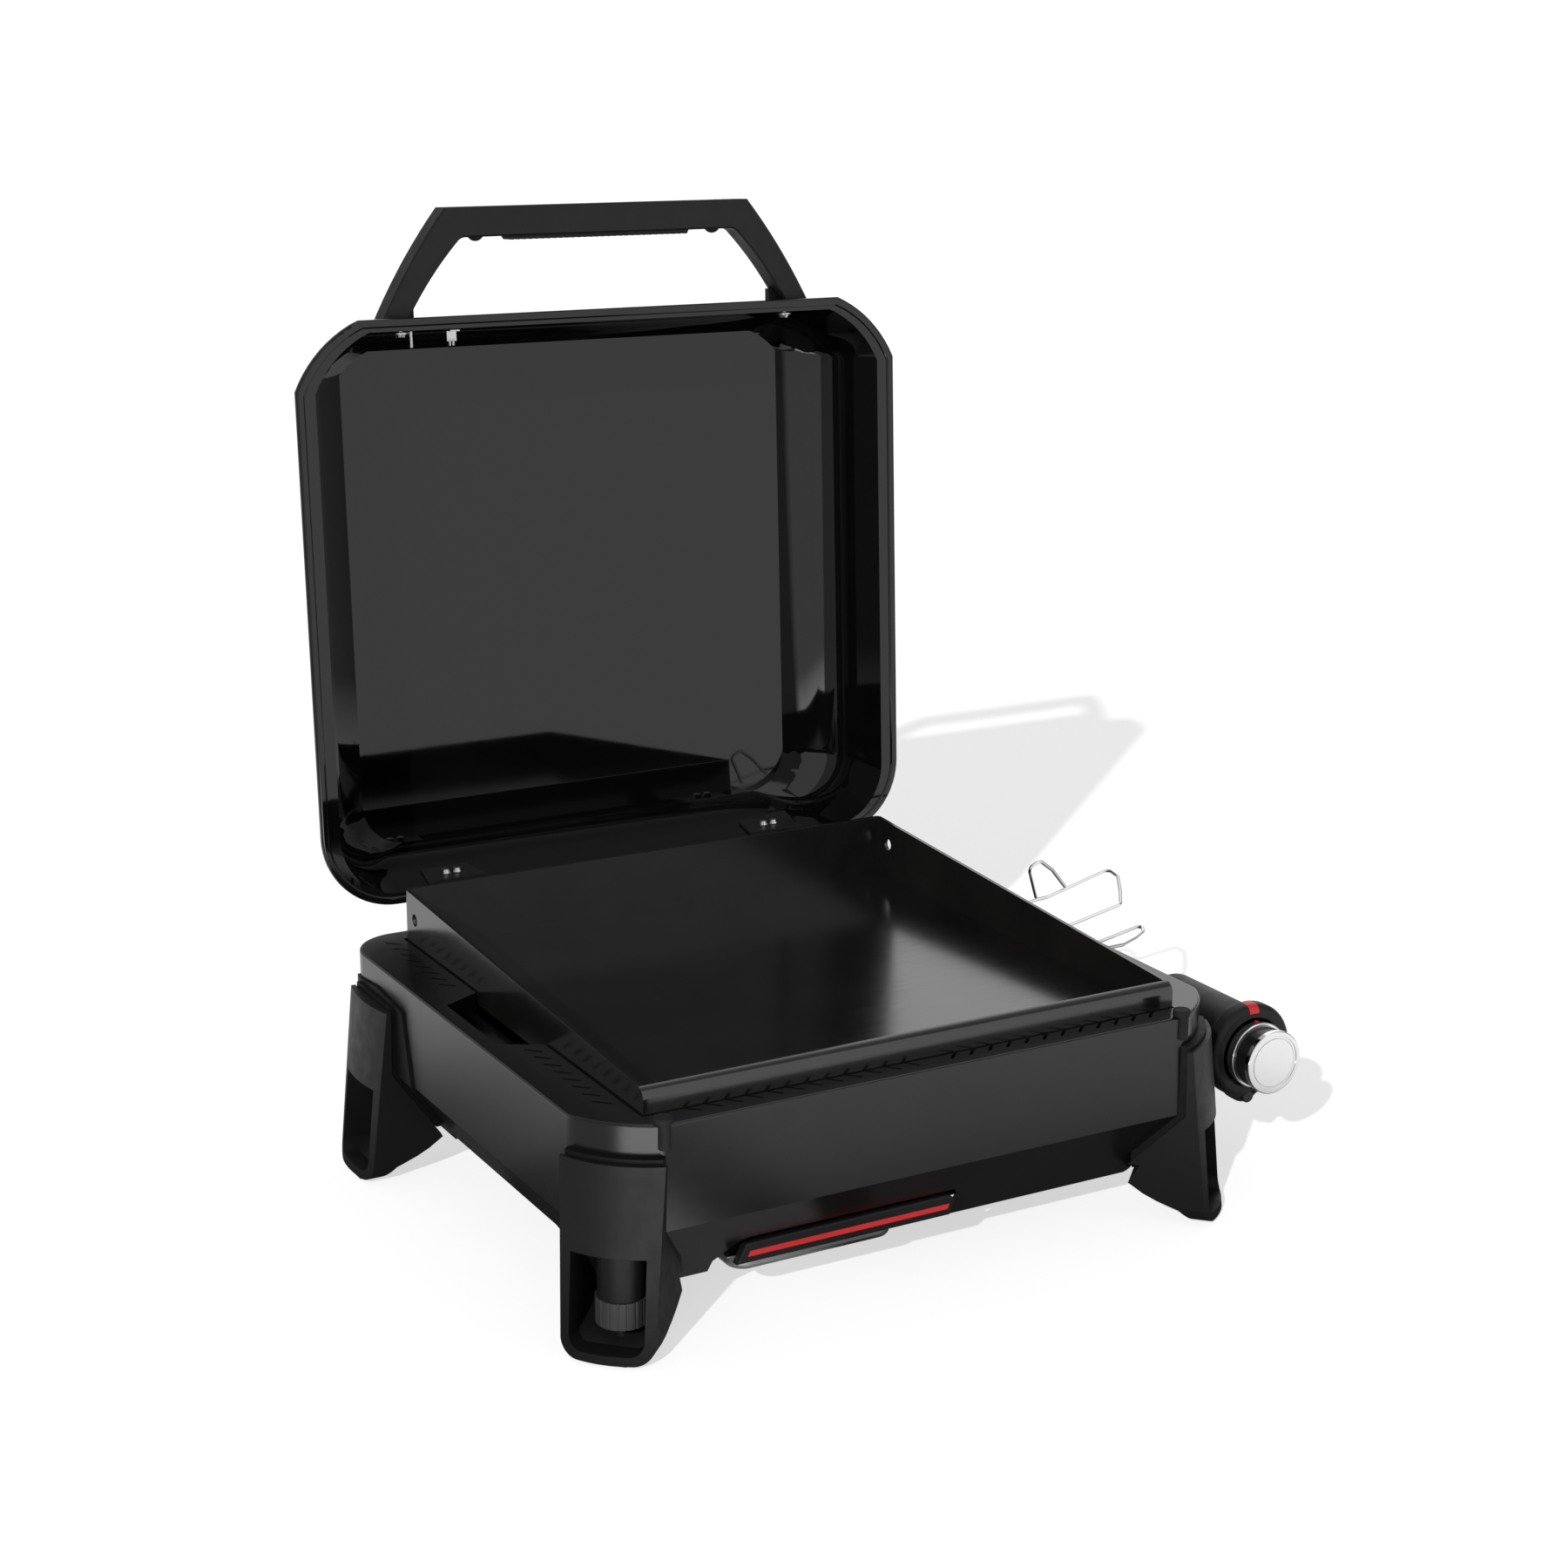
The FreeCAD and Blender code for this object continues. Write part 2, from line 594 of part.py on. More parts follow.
def hinge_axis_point(x):
    """Where the hinge axis lies in the griddle's frame."""
    angle = math.radians(90 - LID_LEAN)
    y = LID_EDGE.y + HINGE_W * math.cos(angle) - HINGE_N * math.sin(angle)
    z = LID_EDGE.z + HINGE_W * math.sin(angle) + HINGE_N * math.cos(angle)
    return V(x, y, z)


def base_hinge_bracket(side):
    """Bracket on the back wall: plate and two ears around the lid's barrel."""
    x = side * HINGE_X
    pivot = hinge_axis_point(x)
    plate = box(x - 22, x + 22, BODY_BACK, BODY_BACK + 2.5, 112, 158)
    shapes = [plate]
    for dx in (-16.5, 13.8):
        outline = [(BODY_BACK, 122), (BODY_BACK, 157), (pivot.y - 6.5, pivot.z + 2),
                   (pivot.y + 6.5, pivot.z + 2), (pivot.y + 6.5, pivot.z - 6)]
        ear = prism([(x + dx, y, z) for y, z in outline], V(2.7, 0, 0))
        cap = rod(6.5, V(x + dx, pivot.y, pivot.z), V(x + dx + 2.7, pivot.y, pivot.z))
        shapes.append(ear.fuse(cap))
    bracket = fuse(shapes)
    bracket = bracket.cut(rod(PIN_R + 0.02, V(x - 30, pivot.y, pivot.z), V(x + 30, pivot.y, pivot.z)))
    for dz in (120, 150):
        bracket = bracket.cut(rod(2.5, V(x, BODY_BACK - 1, dz), V(x, BODY_BACK + 4, dz)))
    return bracket


def hinge_pin(side):
    """Headed pin through the bracket ears and the lid's barrel."""
    pivot = hinge_axis_point(side * HINGE_X)
    x0, x1 = pivot.x - 18.5, pivot.x + 18.5
    shank = rod(PIN_R, V(x0, pivot.y, pivot.z), V(x1, pivot.y, pivot.z))
    head = rod(4.6, V(x1 - 2.0, pivot.y, pivot.z), V(x1, pivot.y, pivot.z))
    clip = rod(4.2, V(x0, pivot.y, pivot.z), V(x0 + 1.2, pivot.y, pivot.z))
    return fuse([shank, head, clip])


def bracket_rivets():
    """Rivets that hold the hinge brackets to the back wall."""
    rivets = []
    for side in (-1, 1):
        for z in (120, 150):
            x = side * HINGE_X
            shank = rod(2.4, V(x, BODY_BACK, z), V(x, BODY_BACK + 2.5, z))
            head = Part.makeSphere(5.5, V(x, BODY_BACK - 0.6, z))
            head = head.common(box(x - 6, x + 6, BODY_BACK + 2.5, BODY_BACK + 8, z - 6, z + 6))
            rivets.append(fuse([shank, head]))
    return rivets


def leg_frames():
    """Leg name, turn about Z and foot of the wall that each leg stands against."""
    cut_mid_x = BODY_HALF - BODY_CUT_X / 2
    cut_mid_y = BODY_FRONT + BODY_CUT_Y / 2
    return [("front_left", 135, V(-cut_mid_x, cut_mid_y, 0)),
            ("front_right", -135, V(cut_mid_x, cut_mid_y, 0)),
            ("rear_left", 90, V(-BODY_HALF, LEG_REAR_Y, 0)),
            ("rear_right", -90, V(BODY_HALF, LEG_REAR_Y, 0))]


def leg_place(shape, turn, foot):
    """Move a shape from the leg's frame (X across, Y outward) to its corner."""
    shape.rotate(V(0, 0, 0), Z_AXIS, turn)
    shape.translate(foot)
    return shape


def leg_blank(bow):
    """Outer shape of a leg before it is fitted to the fire box."""
    def section(half, out, z):
        edges = [Part.makeLine(V(-half, -60, z), V(-half, out, z)),
                 Part.Arc(V(-half, out, z), V(0, out + bow, z), V(half, out, z)).toShape(),
                 Part.makeLine(V(half, out, z), V(half, -60, z)),
                 Part.makeLine(V(half, -60, z), V(-half, -60, z))]
        return Part.Wire(edges)

    blank = Part.makeLoft([section(LEG_HALF_TOP, LEG_OUT_TOP, LEG_TOP),
                           section(LEG_HALF_LOW, LEG_OUT_LOW, 0)], True, True)
    profile = [(-35.5, 31), (-27.4, 46), (5, 91), (5, LEG_TOP), (60, LEG_TOP), (60, PAD_H),
               (16, PAD_H), (11, 5), (3, 12.6), (-13.6, 18.6), (-24, 23.5)]
    boot = prism([(-50, o, z) for o, z in profile], V(100, 0, 0))
    spare = box(-50, 50, -60, 30, 46, LEG_TOP)
    blank = blank.common(boot.fuse(spare))
    r = 14.0
    round_x = LEG_HALF_LOW - r + 0.6
    for side in (-1, 1):
        corner = box(side * LEG_HALF_LOW - r, side * LEG_HALF_LOW + r, -60, 60, 0, r + PAD_H)
        centre = V(side * round_x, -60, PAD_H + r)
        keep_round = rod(r, centre, centre.add(V(0, 120, 0)))
        inner = box(min(0, side * round_x), max(0, side * round_x), -60, 60, -1, 60)
        blank = blank.cut(corner.cut(keep_round).cut(inner))
    return blank


def leg_pocket():
    """Hollow of a leg, open at the outer face."""
    r = 10.0
    w = WINDOW_HALF
    knee = r * (1 - math.sqrt(0.5))
    edges = [
        Part.makeLine(V(-w, 0, WINDOW_HIGH), V(-w, 0, WINDOW_LOW + r)),
        Part.Arc(V(-w, 0, WINDOW_LOW + r), V(knee - w, 0, WINDOW_LOW + knee),
                 V(r - w, 0, WINDOW_LOW)).toShape(),
        Part.makeLine(V(r - w, 0, WINDOW_LOW), V(w - r, 0, WINDOW_LOW)),
        Part.Arc(V(w - r, 0, WINDOW_LOW), V(w - knee, 0, WINDOW_LOW + knee),
                 V(w, 0, WINDOW_LOW + r)).toShape(),
        Part.makeLine(V(w, 0, WINDOW_LOW + r), V(w, 0, WINDOW_HIGH)),
        Part.makeLine(V(w, 0, WINDOW_HIGH), V(-w, 0, WINDOW_HIGH))]
    window = Part.Face(Part.Wire(edges)).extrude(V(0, 120, 0))
    window.translate(V(0, -50, 0))
    floor = prism([(-50, 80, 0), (-50, 80, 100), (-50, -60, 100), (-50, -30, 33), (-50, -25, 28),
                   (-50, -14, 22), (-50, 5, 15.5), (-50, 14, 9)], V(100, 0, 0))
    return window.common(floor)


def build_legs():
    """Leg shells, brackets, pads and screws at the four corners."""
    seam_skin = body_envelope(LEG_SEAM, DECK_TOP + 2, BODY_LOW)
    seam_skin = seam_skin.fuse(box(-190, 190, -150, 200, 14, BODY_LOW))
    bracket_skin = body_envelope(LEG_SEAM - 0.3, DECK_TOP + 2, BODY_LOW)
    wall_skin = body_envelope(0.1, DECK_TOP + 4, BODY_LOW)
    plate_skin = body_envelope(REAR_PLATE_T, DECK_TOP + 2, BODY_LOW)
    pocket_skin = body_envelope(LEG_SEAM + 4.0, DECK_TOP + 4, 8)
    screws = []
    pads = []
    for name, turn, foot in leg_frames():
        bow = LEG_BOW if name.startswith("front") else LEG_BOW - 3
        shell = leg_place(leg_blank(bow), turn, foot).cut(seam_skin)
        pocket = leg_place(leg_pocket(), turn, foot).cut(pocket_skin)
        shell = shell.cut(pocket)
        if name == "front_left":
            boss = rod(17.0, V(-4, 4, 43.6), V(-4, 4, 90))
            boss = leg_place(boss, turn, foot).common(pocket)
            shell = shell.fuse(boss)
            screw_hole = rod(4.4, V(-4, 4, 1), V(-4, 4, 62))
            shell = shell.cut(leg_place(screw_hole, turn, foot))
        solids = sorted(shell.Solids, key=lambda s: -s.Volume)
        shell = solids[0].removeSplitter()
        bracket = box(-LEG_HALF_TOP + 3, LEG_HALF_TOP - 3, -34, 20, 40, LEG_TOP + 3.5)
        bracket = leg_place(bracket, turn, foot).common(bracket_skin)
        if name.startswith("rear"):
            plate = prism([(-REAR_PLATE_TOP, 5, 145), (0, 5, 150), (REAR_PLATE_TOP, 5, 145),
                           (REAR_PLATE_LOW, 5, CREASE_Z), (REAR_PLATE_TOP, 5, 48),
                           (-REAR_PLATE_TOP, 5, 48), (-REAR_PLATE_LOW, 5, CREASE_Z)], V(0, -50, 0))
            bracket = bracket.fuse(leg_place(plate, turn, foot).common(plate_skin))
        bracket = bracket.cut(wall_skin)
        bracket = sorted(bracket.Solids, key=lambda s: -s.Volume)[0]
        pad = box(-15, 15, 17.5, 26.5, 0, PAD_H)
        pad = pad.makeFillet(2.0, [e for e in pad.Edges if abs(e.Vertexes[0].Z - e.Vertexes[-1].Z) > 1])
        for x in (-20, 20):
            inner_end = -9.5 if name.startswith("front") else -7.0
            shank = rod(2.4, V(x, inner_end + 4, 118), V(x, 8.4, 118))
            hole = leg_place(rod(2.5, V(x, -20, 118), V(x, 8.6, 118)), turn, foot)
            shell = shell.cut(hole)
            bracket = bracket.cut(hole)
            PARTS["body_shell"] = PARTS["body_shell"].cut(hole)
            head = rod(4.5, V(x, inner_end, 118), V(x, inner_end + 4, 118))
            screws.append(leg_place(fuse([shank, head]), turn, foot))
        keep("leg_" + name, shell)
        keep("leg_bracket_" + name, bracket)
        pads.append(leg_place(pad, turn, foot))
    keep("foot_pads", Part.makeCompound(pads))
    keep("leg_screws", Part.makeCompound(screws))


def leveller_knob():
    """Fluted thumb wheel of the adjustable front left foot."""
    wheel = Part.makeCylinder(18.4, 19.4, V(0, 0, 24))
    flutes = []
    for i in range(18):
        angle = math.radians(i * 20)
        flutes.append(Part.makeCylinder(1.1, 30, V(19.0 * math.cos(angle), 19.0 * math.sin(angle), 20)))
    wheel = wheel.cut(Part.makeCompound(flutes))
    return wheel.cut(Part.makeCylinder(4.0, 40, V(0, 0, 10)))


def leveller_screw():
    """Threaded stem and foot disc under the thumb wheel."""
    stem = Part.makeCylinder(4.0, 57, V(0, 0, 2.5))
    disc = Part.makeCylinder(8.0, 2.5, V(0, 0, 0))
    return stem.fuse(disc).removeSplitter()


def valve_tube():
    """Round housing of the regulator and valve, with the arm to the fire box."""
    axis_back = V(KNOB_X, TUBE_BACK, KNOB_Z)
    seam = V(KNOB_X, TUBE_SEAM, KNOB_Z)
    tube = rod(TUBE_R, axis_back, seam)
    back_edge = [e for e in tube.Edges if abs(e.BoundBox.YMin - TUBE_BACK) < 0.1 and e.BoundBox.YLength < 0.1]
    tube = tube.makeFillet(5.0, back_edge)
    arm = box(BODY_HALF + 0.1, KNOB_X - 10, PIPE_Y - 18, PIPE_Y + 18, KNOB_Z - 18, KNOB_Z + 18)
    tube = tube.fuse(arm)
    tube = tube.cut(rod(TUBE_R - 3, V(KNOB_X, TUBE_BACK - 4, KNOB_Z), seam))
    tube = tube.cut(rod(16.0, V(KNOB_X, TUBE_BACK + 1, KNOB_Z), seam))
    tube = tube.cut(rod(8.0, V(BODY_HALF - 5, PIPE_Y, KNOB_Z), V(KNOB_X, PIPE_Y, KNOB_Z)))
    return tube.removeSplitter()


def collar_blank(grow):
    """The collar without its bores: a flare from the housing, then a round front edge."""
    seam = TUBE_SEAM - 0.2
    wide = seam - COLLAR_FLARE
    front = COLLAR_FRONT - grow
    flare = Part.makeCone(TUBE_R + grow, COLLAR_R + grow, COLLAR_FLARE, V(KNOB_X, seam, KNOB_Z), V(0, -1, 0))
    drum = rod(COLLAR_R + grow, V(KNOB_X, wide, KNOB_Z), V(KNOB_X, front, KNOB_Z))
    rim = [e for e in drum.Edges if e.BoundBox.YLength < 0.1 and abs(e.BoundBox.YMin - front) < 0.1]
    return flare.fuse(drum.makeFillet(5.5 + grow, rim)).removeSplitter()


def valve_collar():
    """Front collar round the knob, with the lobe that holds the igniter button."""
    collar = collar_blank(0)
    lobe_top = V(KNOB_X + 1, TUBE_SEAM - 0.2, KNOB_Z - 29)
    lobe = rod(15.0, lobe_top, V(KNOB_X + 1, COLLAR_FRONT + 6, KNOB_Z - 29))
    ends = [e for e in lobe.Edges if e.BoundBox.YLength < 0.1]
    lobe = lobe.makeFillet(3.0, ends)
    collar = collar.fuse(lobe)
    collar = collar.cut(rod(28.0, V(KNOB_X, COLLAR_FRONT - 1, KNOB_Z), V(KNOB_X, COLLAR_FRONT + 9, KNOB_Z)))
    collar = collar.cut(rod(14.0, V(KNOB_X, COLLAR_FRONT, KNOB_Z), V(KNOB_X, TUBE_SEAM, KNOB_Z)))
    bore_end = COLLAR_FRONT + 18
    collar = collar.cut(rod(BUTTON_R + BUTTON_FIT, V(KNOB_X + 1, COLLAR_FRONT - 1, BUTTON_Z),
                            V(KNOB_X + 1, bore_end, BUTTON_Z)))
    return collar.removeSplitter()


def collar_mark(angle, width, seat):
    """Painted mark that wraps over the collar's front edge."""
    block = box(-width / 2, width / 2, COLLAR_FRONT - 2, COLLAR_FRONT + seat, COLLAR_R - 6.5, COLLAR_R + 4)
    block.rotate(V(0, 0, 0), Y_AXIS, angle)
    block.translate(V(KNOB_X, 0, KNOB_Z))
    return collar_blank(0.25).common(block)


def knob_part(radius, y_front, y_back, edge):
    """A round section of the knob with its front edge rounded."""
    disc = rod(radius, V(KNOB_X, y_back, KNOB_Z), V(KNOB_X, y_front, KNOB_Z))
    rim = [e for e in disc.Edges if e.BoundBox.YLength < 0.1 and abs(e.BoundBox.YMin - y_front) < 0.1]
    return disc.makeFillet(edge, rim)


def build_knob():
    """Knob in four pieces: base ring, dark band, bright cap ring and face disc, and its stem."""
    ring = knob_part(26.2, -186.5, -172.0, 1.0)
    band = knob_part(24.2, -200.0, -186.5, 0.4)
    cap = knob_part(KNOB_R, KNOB_FRONT, -200.0, 1.0)
    face_seat = rod(19.6, V(KNOB_X, KNOB_FRONT - 1, KNOB_Z), V(KNOB_X, KNOB_FRONT + 1.2, KNOB_Z))
    face = rod(19.3, V(KNOB_X, KNOB_FRONT + 1.2, KNOB_Z), V(KNOB_X, KNOB_FRONT + 0.3, KNOB_Z))
    groove = rod(21.6, V(KNOB_X, KNOB_FRONT - 1, KNOB_Z), V(KNOB_X, KNOB_FRONT + 0.5, KNOB_Z))
    groove = groove.cut(rod(19.6, V(KNOB_X, KNOB_FRONT - 2, KNOB_Z), V(KNOB_X, KNOB_FRONT + 2, KNOB_Z)))
    cap = cap.cut(face_seat).cut(groove)
    stem = rod(4.0, V(KNOB_X, -172.0, KNOB_Z), V(KNOB_X, -128.5, KNOB_Z))
    dot = rod(1.7, V(KNOB_X, -181.0, KNOB_Z + 25), V(KNOB_X, -181.0, KNOB_Z + 26.5)).cut(ring)
    keep("knob_base_ring", ring)
    keep("knob_band", band)
    keep("knob_cap", cap)
    keep("knob_face", face)
    keep("knob_stem", stem)
    keep("knob_dot", dot)


def regulator_inlet():
    """Brass socket at the back of the housing where the gas cylinder screws in."""
    socket = rod(15.8, V(KNOB_X, TUBE_BACK - 2, KNOB_Z), V(KNOB_X, TUBE_BACK + 3.5, KNOB_Z))
    neck = rod(15.8, V(KNOB_X, TUBE_BACK - 26, KNOB_Z), V(KNOB_X, TUBE_BACK - 2, KNOB_Z))
    bore = rod(INLET_R, V(KNOB_X, TUBE_BACK - 18, KNOB_Z), V(KNOB_X, TUBE_BACK + 5, KNOB_Z))
    return fuse([socket, neck]).cut(bore)


def regulator_body():
    """Pressure regulator and valve block inside the housing."""
    return rod(22.0, V(KNOB_X, TUBE_BACK - 26.2, KNOB_Z), V(KNOB_X, -128.0, KNOB_Z))


def gas_pipe():
    """Pipe from the valve through the arm into the burner."""
    z = KNOB_Z
    start = V(KNOB_X - 22.5, PIPE_Y, z)
    pipe = rod(5.0, start, V(236, PIPE_Y, z))
    rise = rod(5.0, V(236, PIPE_Y, z), V(236, PIPE_Y, BURNER_Z))
    jet = rod(5.0, V(236, PIPE_Y, BURNER_Z), V(BURNER_X + 116, PIPE_Y, BURNER_Z))
    knees = [Part.makeSphere(5.0, V(236, PIPE_Y, z)), Part.makeSphere(5.0, V(236, PIPE_Y, BURNER_Z))]
    return fuse([pipe, rise, jet] + knees)


def igniter_button():
    """Push button of the piezo igniter, in the lobe under the knob."""
    y = COLLAR_FRONT + 3
    button = rod(BUTTON_R, V(KNOB_X + 1, y + 9, BUTTON_Z), V(KNOB_X + 1, y, BUTTON_Z))
    front = [e for e in button.Edges if e.BoundBox.YLength < 0.1 and e.BoundBox.YMin < y + 1]
    return button.makeFillet(1.0, front)


def bumper(side, body):
    """Rubber stop that the closed lid rests on, hooked over the deck's front edge."""
    x = side * 214.5
    cap = Part.makeCylinder(6.6, 4.9, V(x, -221.5, DECK_TOP + 0.5))
    cap = cap.makeFillet(0.8, [e for e in cap.Edges if e.BoundBox.ZLength < 0.1])
    stem = Part.makeCylinder(4.4, 18, V(x, -223.5, DECK_TOP - 17))
    return cap.fuse(stem.cut(body)).removeSplitter()


def rounded_path(points, bend):
    """A wire through the points with each corner rounded by an arc."""
    edges = []
    start = points[0]
    for i in range(1, len(points) - 1):
        before = points[i - 1].sub(points[i])
        after = points[i + 1].sub(points[i])
        half = before.getAngle(after) / 2
        back = min(bend / math.tan(half), before.Length * 0.45, after.Length * 0.45)
        before.normalize()
        after.normalize()
        enter = points[i].add(before * back)
        leave = points[i].add(after * back)
        radius = back * math.tan(half)
        inward = before.add(after)
        inward.normalize()
        middle = points[i].add(inward * (radius / math.sin(half) - radius))
        edges.append(Part.makeLine(start, enter))
        edges.append(Part.Arc(enter, middle, leave).toShape())
        start = leave
    edges.append(Part.makeLine(start, points[-1]))
    return Part.Wire(edges)


def bent_wire(points, radius, bend):
    """A round wire bent along a list of points."""
    path = rounded_path(points, bend)
    way = points[1].sub(points[0])
    section = Part.Wire([Part.makeCircle(radius, points[0], way)])
    return path.makePipeShell([section], True, False)


def cylinder_holder():
    """Three chromed wire loops on the right wall that steady the gas cylinder."""
    wall = BODY_HALF + 2.2
    back_loop = bent_wire([V(wall, 90, 150.5), V(300, 90, 155.5), V(311, 90, 156), V(374.5, 90, 171.5),
                           V(374.5, 76, 169), V(362, 55, 163), V(350, 38, 158.5), V(302, 40, 148),
                           V(wall, 40, 140)], 1.6, 5)
    eye = bent_wire([V(299, 88.5, 158), V(289, 86, 186), V(300, 86, 191), V(313, 86, 181),
                     V(328, 88, 163.5)], 1.6, 5)
    front_loop = bent_wire([V(wall, -20, 150), V(290, -20, 153.7), V(329, -20, 160.6), V(322, -31, 159),
                            V(308, -40, 158.7), V(289, -49, 158.7), V(wall, -52, 160)], 1.6, 5)
    return back_loop, eye, front_loop


def holder_clips(wires):
    """Steel saddles that hold the wire ends to the right wall."""
    clips = []
    for y, z in ((90, 150.5), (40, 140.0), (-20, 150.0), (-52, 160.0)):
        pad = box(BODY_HALF, BODY_HALF + 1.6, y - 6, y + 6, z - 5, z + 5)
        socket = rod(3.2, V(BODY_HALF, y, z), V(BODY_HALF + 5.5, y, z))
        clip = fuse([pad, socket])
        for wire in wires:
            clip = clip.cut(wire)
        clips.append(clip)
    return clips


def grease_tray():
    """Drawn aluminium catch pan with a flange along both sides."""
    x0, x1 = TRAY_X
    y0, y1 = TRAY_Y
    z0, z1 = TRAY_Z
    bowl = box(x0, x1, y0, y1, z0, z1)
    upright = [e for e in bowl.Edges if abs(e.Vertexes[0].Z - e.Vertexes[-1].Z) > 1]
    bowl = bowl.makeFillet(14.0, upright)
    floor = [e for e in bowl.Edges if e.BoundBox.ZMax < z0 + 0.1]
    bowl = bowl.makeFillet(4.0, floor)
    hollow = box(x0 + 1, x1 - 1, y0 + 1, y1 - 1, z0 + 1, z1 + 1)
    upright = [e for e in hollow.Edges if abs(e.Vertexes[0].Z - e.Vertexes[-1].Z) > 1]
    hollow = hollow.makeFillet(13.0, upright)
    floor = [e for e in hollow.Edges if e.BoundBox.ZMax < z0 + 1.1]
    hollow = hollow.makeFillet(3.0, floor)
    flange = box(x0 - 6, x1 + 6, y0, y1, z1 - 1, z1)
    return bowl.fuse(flange).cut(hollow).removeSplitter()


def tray_rails():
    """Two rails under the drip pan that carry the tray's flanges."""
    rails = []
    for x, side in ((TRAY_X[0] - 6, -1), (TRAY_X[1] + 6, 1)):
        z = TRAY_Z[1]
        y0, y1 = TRAY_Y[0] + 18, TRAY_Y[1] + 6
        web = box(min(x + side * 0.6, x + side * 2), max(x + side * 0.6, x + side * 2), y0, y1, z - 2.9, 52)
        lip = box(min(x - side * 4, x + side * 2), max(x - side * 4, x + side * 2), y0, y1, z - 2.9, z - 1.5)
        rails.append(fuse([web, lip]))
    return rails


def tray_handle():
    """Moulded drawer front with slanted ends, hollow behind."""
    y = HANDLE_FACE_Y
    block = prism([(-148.5, y, 41.4), (-140.5, y, 56.4), (25, y, 57.4), (32, y, 53), (27.5, y, 41.6)],
                  V(0, TRAY_Y[0] - y, 0))
    front = [e for e in block.Edges if e.BoundBox.YMax < y + 0.1]
    block = block.makeFillet(1.5, front)
    hollow = prism([(-139, y + 3, 48.5), (-136, y + 3, 54), (24, y + 3, 54.5), (27, y + 3, 52),
                    (26, y + 3, 48.5)], V(0, 11, 0))
    return block.cut(hollow).removeSplitter()


def tray_strip():
    """Coloured strip along the drawer front."""
    y = HANDLE_FACE_Y
    points = [(-139.7, y, 46.5), (-137.8, y, 50.6), (26.2, y, 50.8), (24.5, y, 46.9)]
    return prism(points, V(0, -0.5, 0))


def export():
    """Write every piece to its own file."""
    os.makedirs("parts", exist_ok=True)
    whole = Part.makeCompound(list(PARTS.values())).optimalBoundingBox(False)
    shift = V(-(whole.XMin + whole.XMax) / 2, -(whole.YMin + whole.YMax) / 2, -whole.ZMin)
    print("shift", round(shift.x, 4), round(shift.y, 4), round(shift.z, 4))
    for name, shape in PARTS.items():
        shape.translate(shift)
        shape.exportStep("parts/" + name + ".step")
        print(name, shape.isValid(), len(shape.Solids), round(shape.Volume, 1))


def build_lid():
    """Lid, handle and the hinge pieces that ride on the lid."""
    filled, hollow = lid_solids()
    lid = lid_shell(filled, hollow)
    hinge_parts = []
    for side, name in ((-1, "left"), (1, "right")):
        leaf = lid_hinge_leaf(side, filled)
        plate = lid_hinge_plate(side, hollow)
        hinge_parts += [leaf, plate]
        keep("lid_hinge_leaf_" + name, lid_place(leaf.copy()))
        keep("lid_hinge_plate_" + name, lid_place(plate.copy()))
    keep("lid_hinge_screws", lid_place(Part.makeCompound(lid_hinge_screws(hinge_parts))))
    keep("lid_shell", lid_place(lid))
    keep("handle_frame", lid_place(handle_frame()))
    keep("handle_grip", lid_place(handle_grip()))
    keep("handle_buttons", lid_place(Part.makeCompound(handle_buttons())))
    keep("handle_screws", lid_place(Part.makeCompound(handle_screws())))
    keep("lid_stud", lid_place(lid_stud()))
    keep("lid_clip", lid_place(lid_clip()))


def build():
    """Make all the pieces."""
    keep("body_shell", body_shell())
    keep("deck_frame", deck_frame())
    keep("griddle_plate", cooking_plate())
    keep("plate_rests", Part.makeCompound(plate_rests()))
    keep("bottom_pan", bottom_pan())
    keep("burner_tube", burner_tube())
    keep("burner_brackets", Part.makeCompound(burner_brackets()))
    keep("igniter_electrode", igniter_electrode())
    build_lid()
    for side, name in ((-1, "left"), (1, "right")):
        keep("base_hinge_bracket_" + name, base_hinge_bracket(side))
    keep("hinge_pins", Part.makeCompound([hinge_pin(side) for side in (-1, 1)]))
    fire_box = body_envelope(0, DECK_TOP, BODY_LOW)
    keep("bumpers", Part.makeCompound([bumper(side, fire_box) for side in (-1, 1)]))
    keep("bracket_rivets", Part.makeCompound(bracket_rivets()))
    build_legs()
    name, turn, foot = leg_frames()[0]
    for piece, shape in (("leveller_knob", leveller_knob()), ("leveller_screw", leveller_screw())):
        shape.translate(V(-4, 4, 0))
        keep(piece, leg_place(shape, turn, foot))
    keep("valve_tube", valve_tube())
    keep("valve_collar", valve_collar())
    keep("off_mark", collar_mark(0, 9.0, 12.4).cut(PARTS["valve_collar"]))
    keep("low_mark", collar_mark(137, 7.0, 7).cut(PARTS["valve_collar"]))
    build_knob()
    keep("regulator_inlet", regulator_inlet())
    keep("regulator_body", regulator_body())
    keep("gas_pipe", gas_pipe())
    keep("igniter_button", igniter_button())
    back_loop, eye, front_loop = cylinder_holder()
    keep("holder_back_loop", back_loop)
    keep("holder_eye", eye)
    keep("holder_front_loop", front_loop)
    keep("holder_clips", Part.makeCompound(holder_clips((back_loop, front_loop))))
    keep("grease_tray", grease_tray())
    keep("tray_rails", Part.makeCompound(tray_rails()))
    keep("tray_handle", tray_handle())
    keep("tray_strip", tray_strip())


build()
export()
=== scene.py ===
import json
import math

import bmesh
import bpy
from mathutils import Matrix, Vector


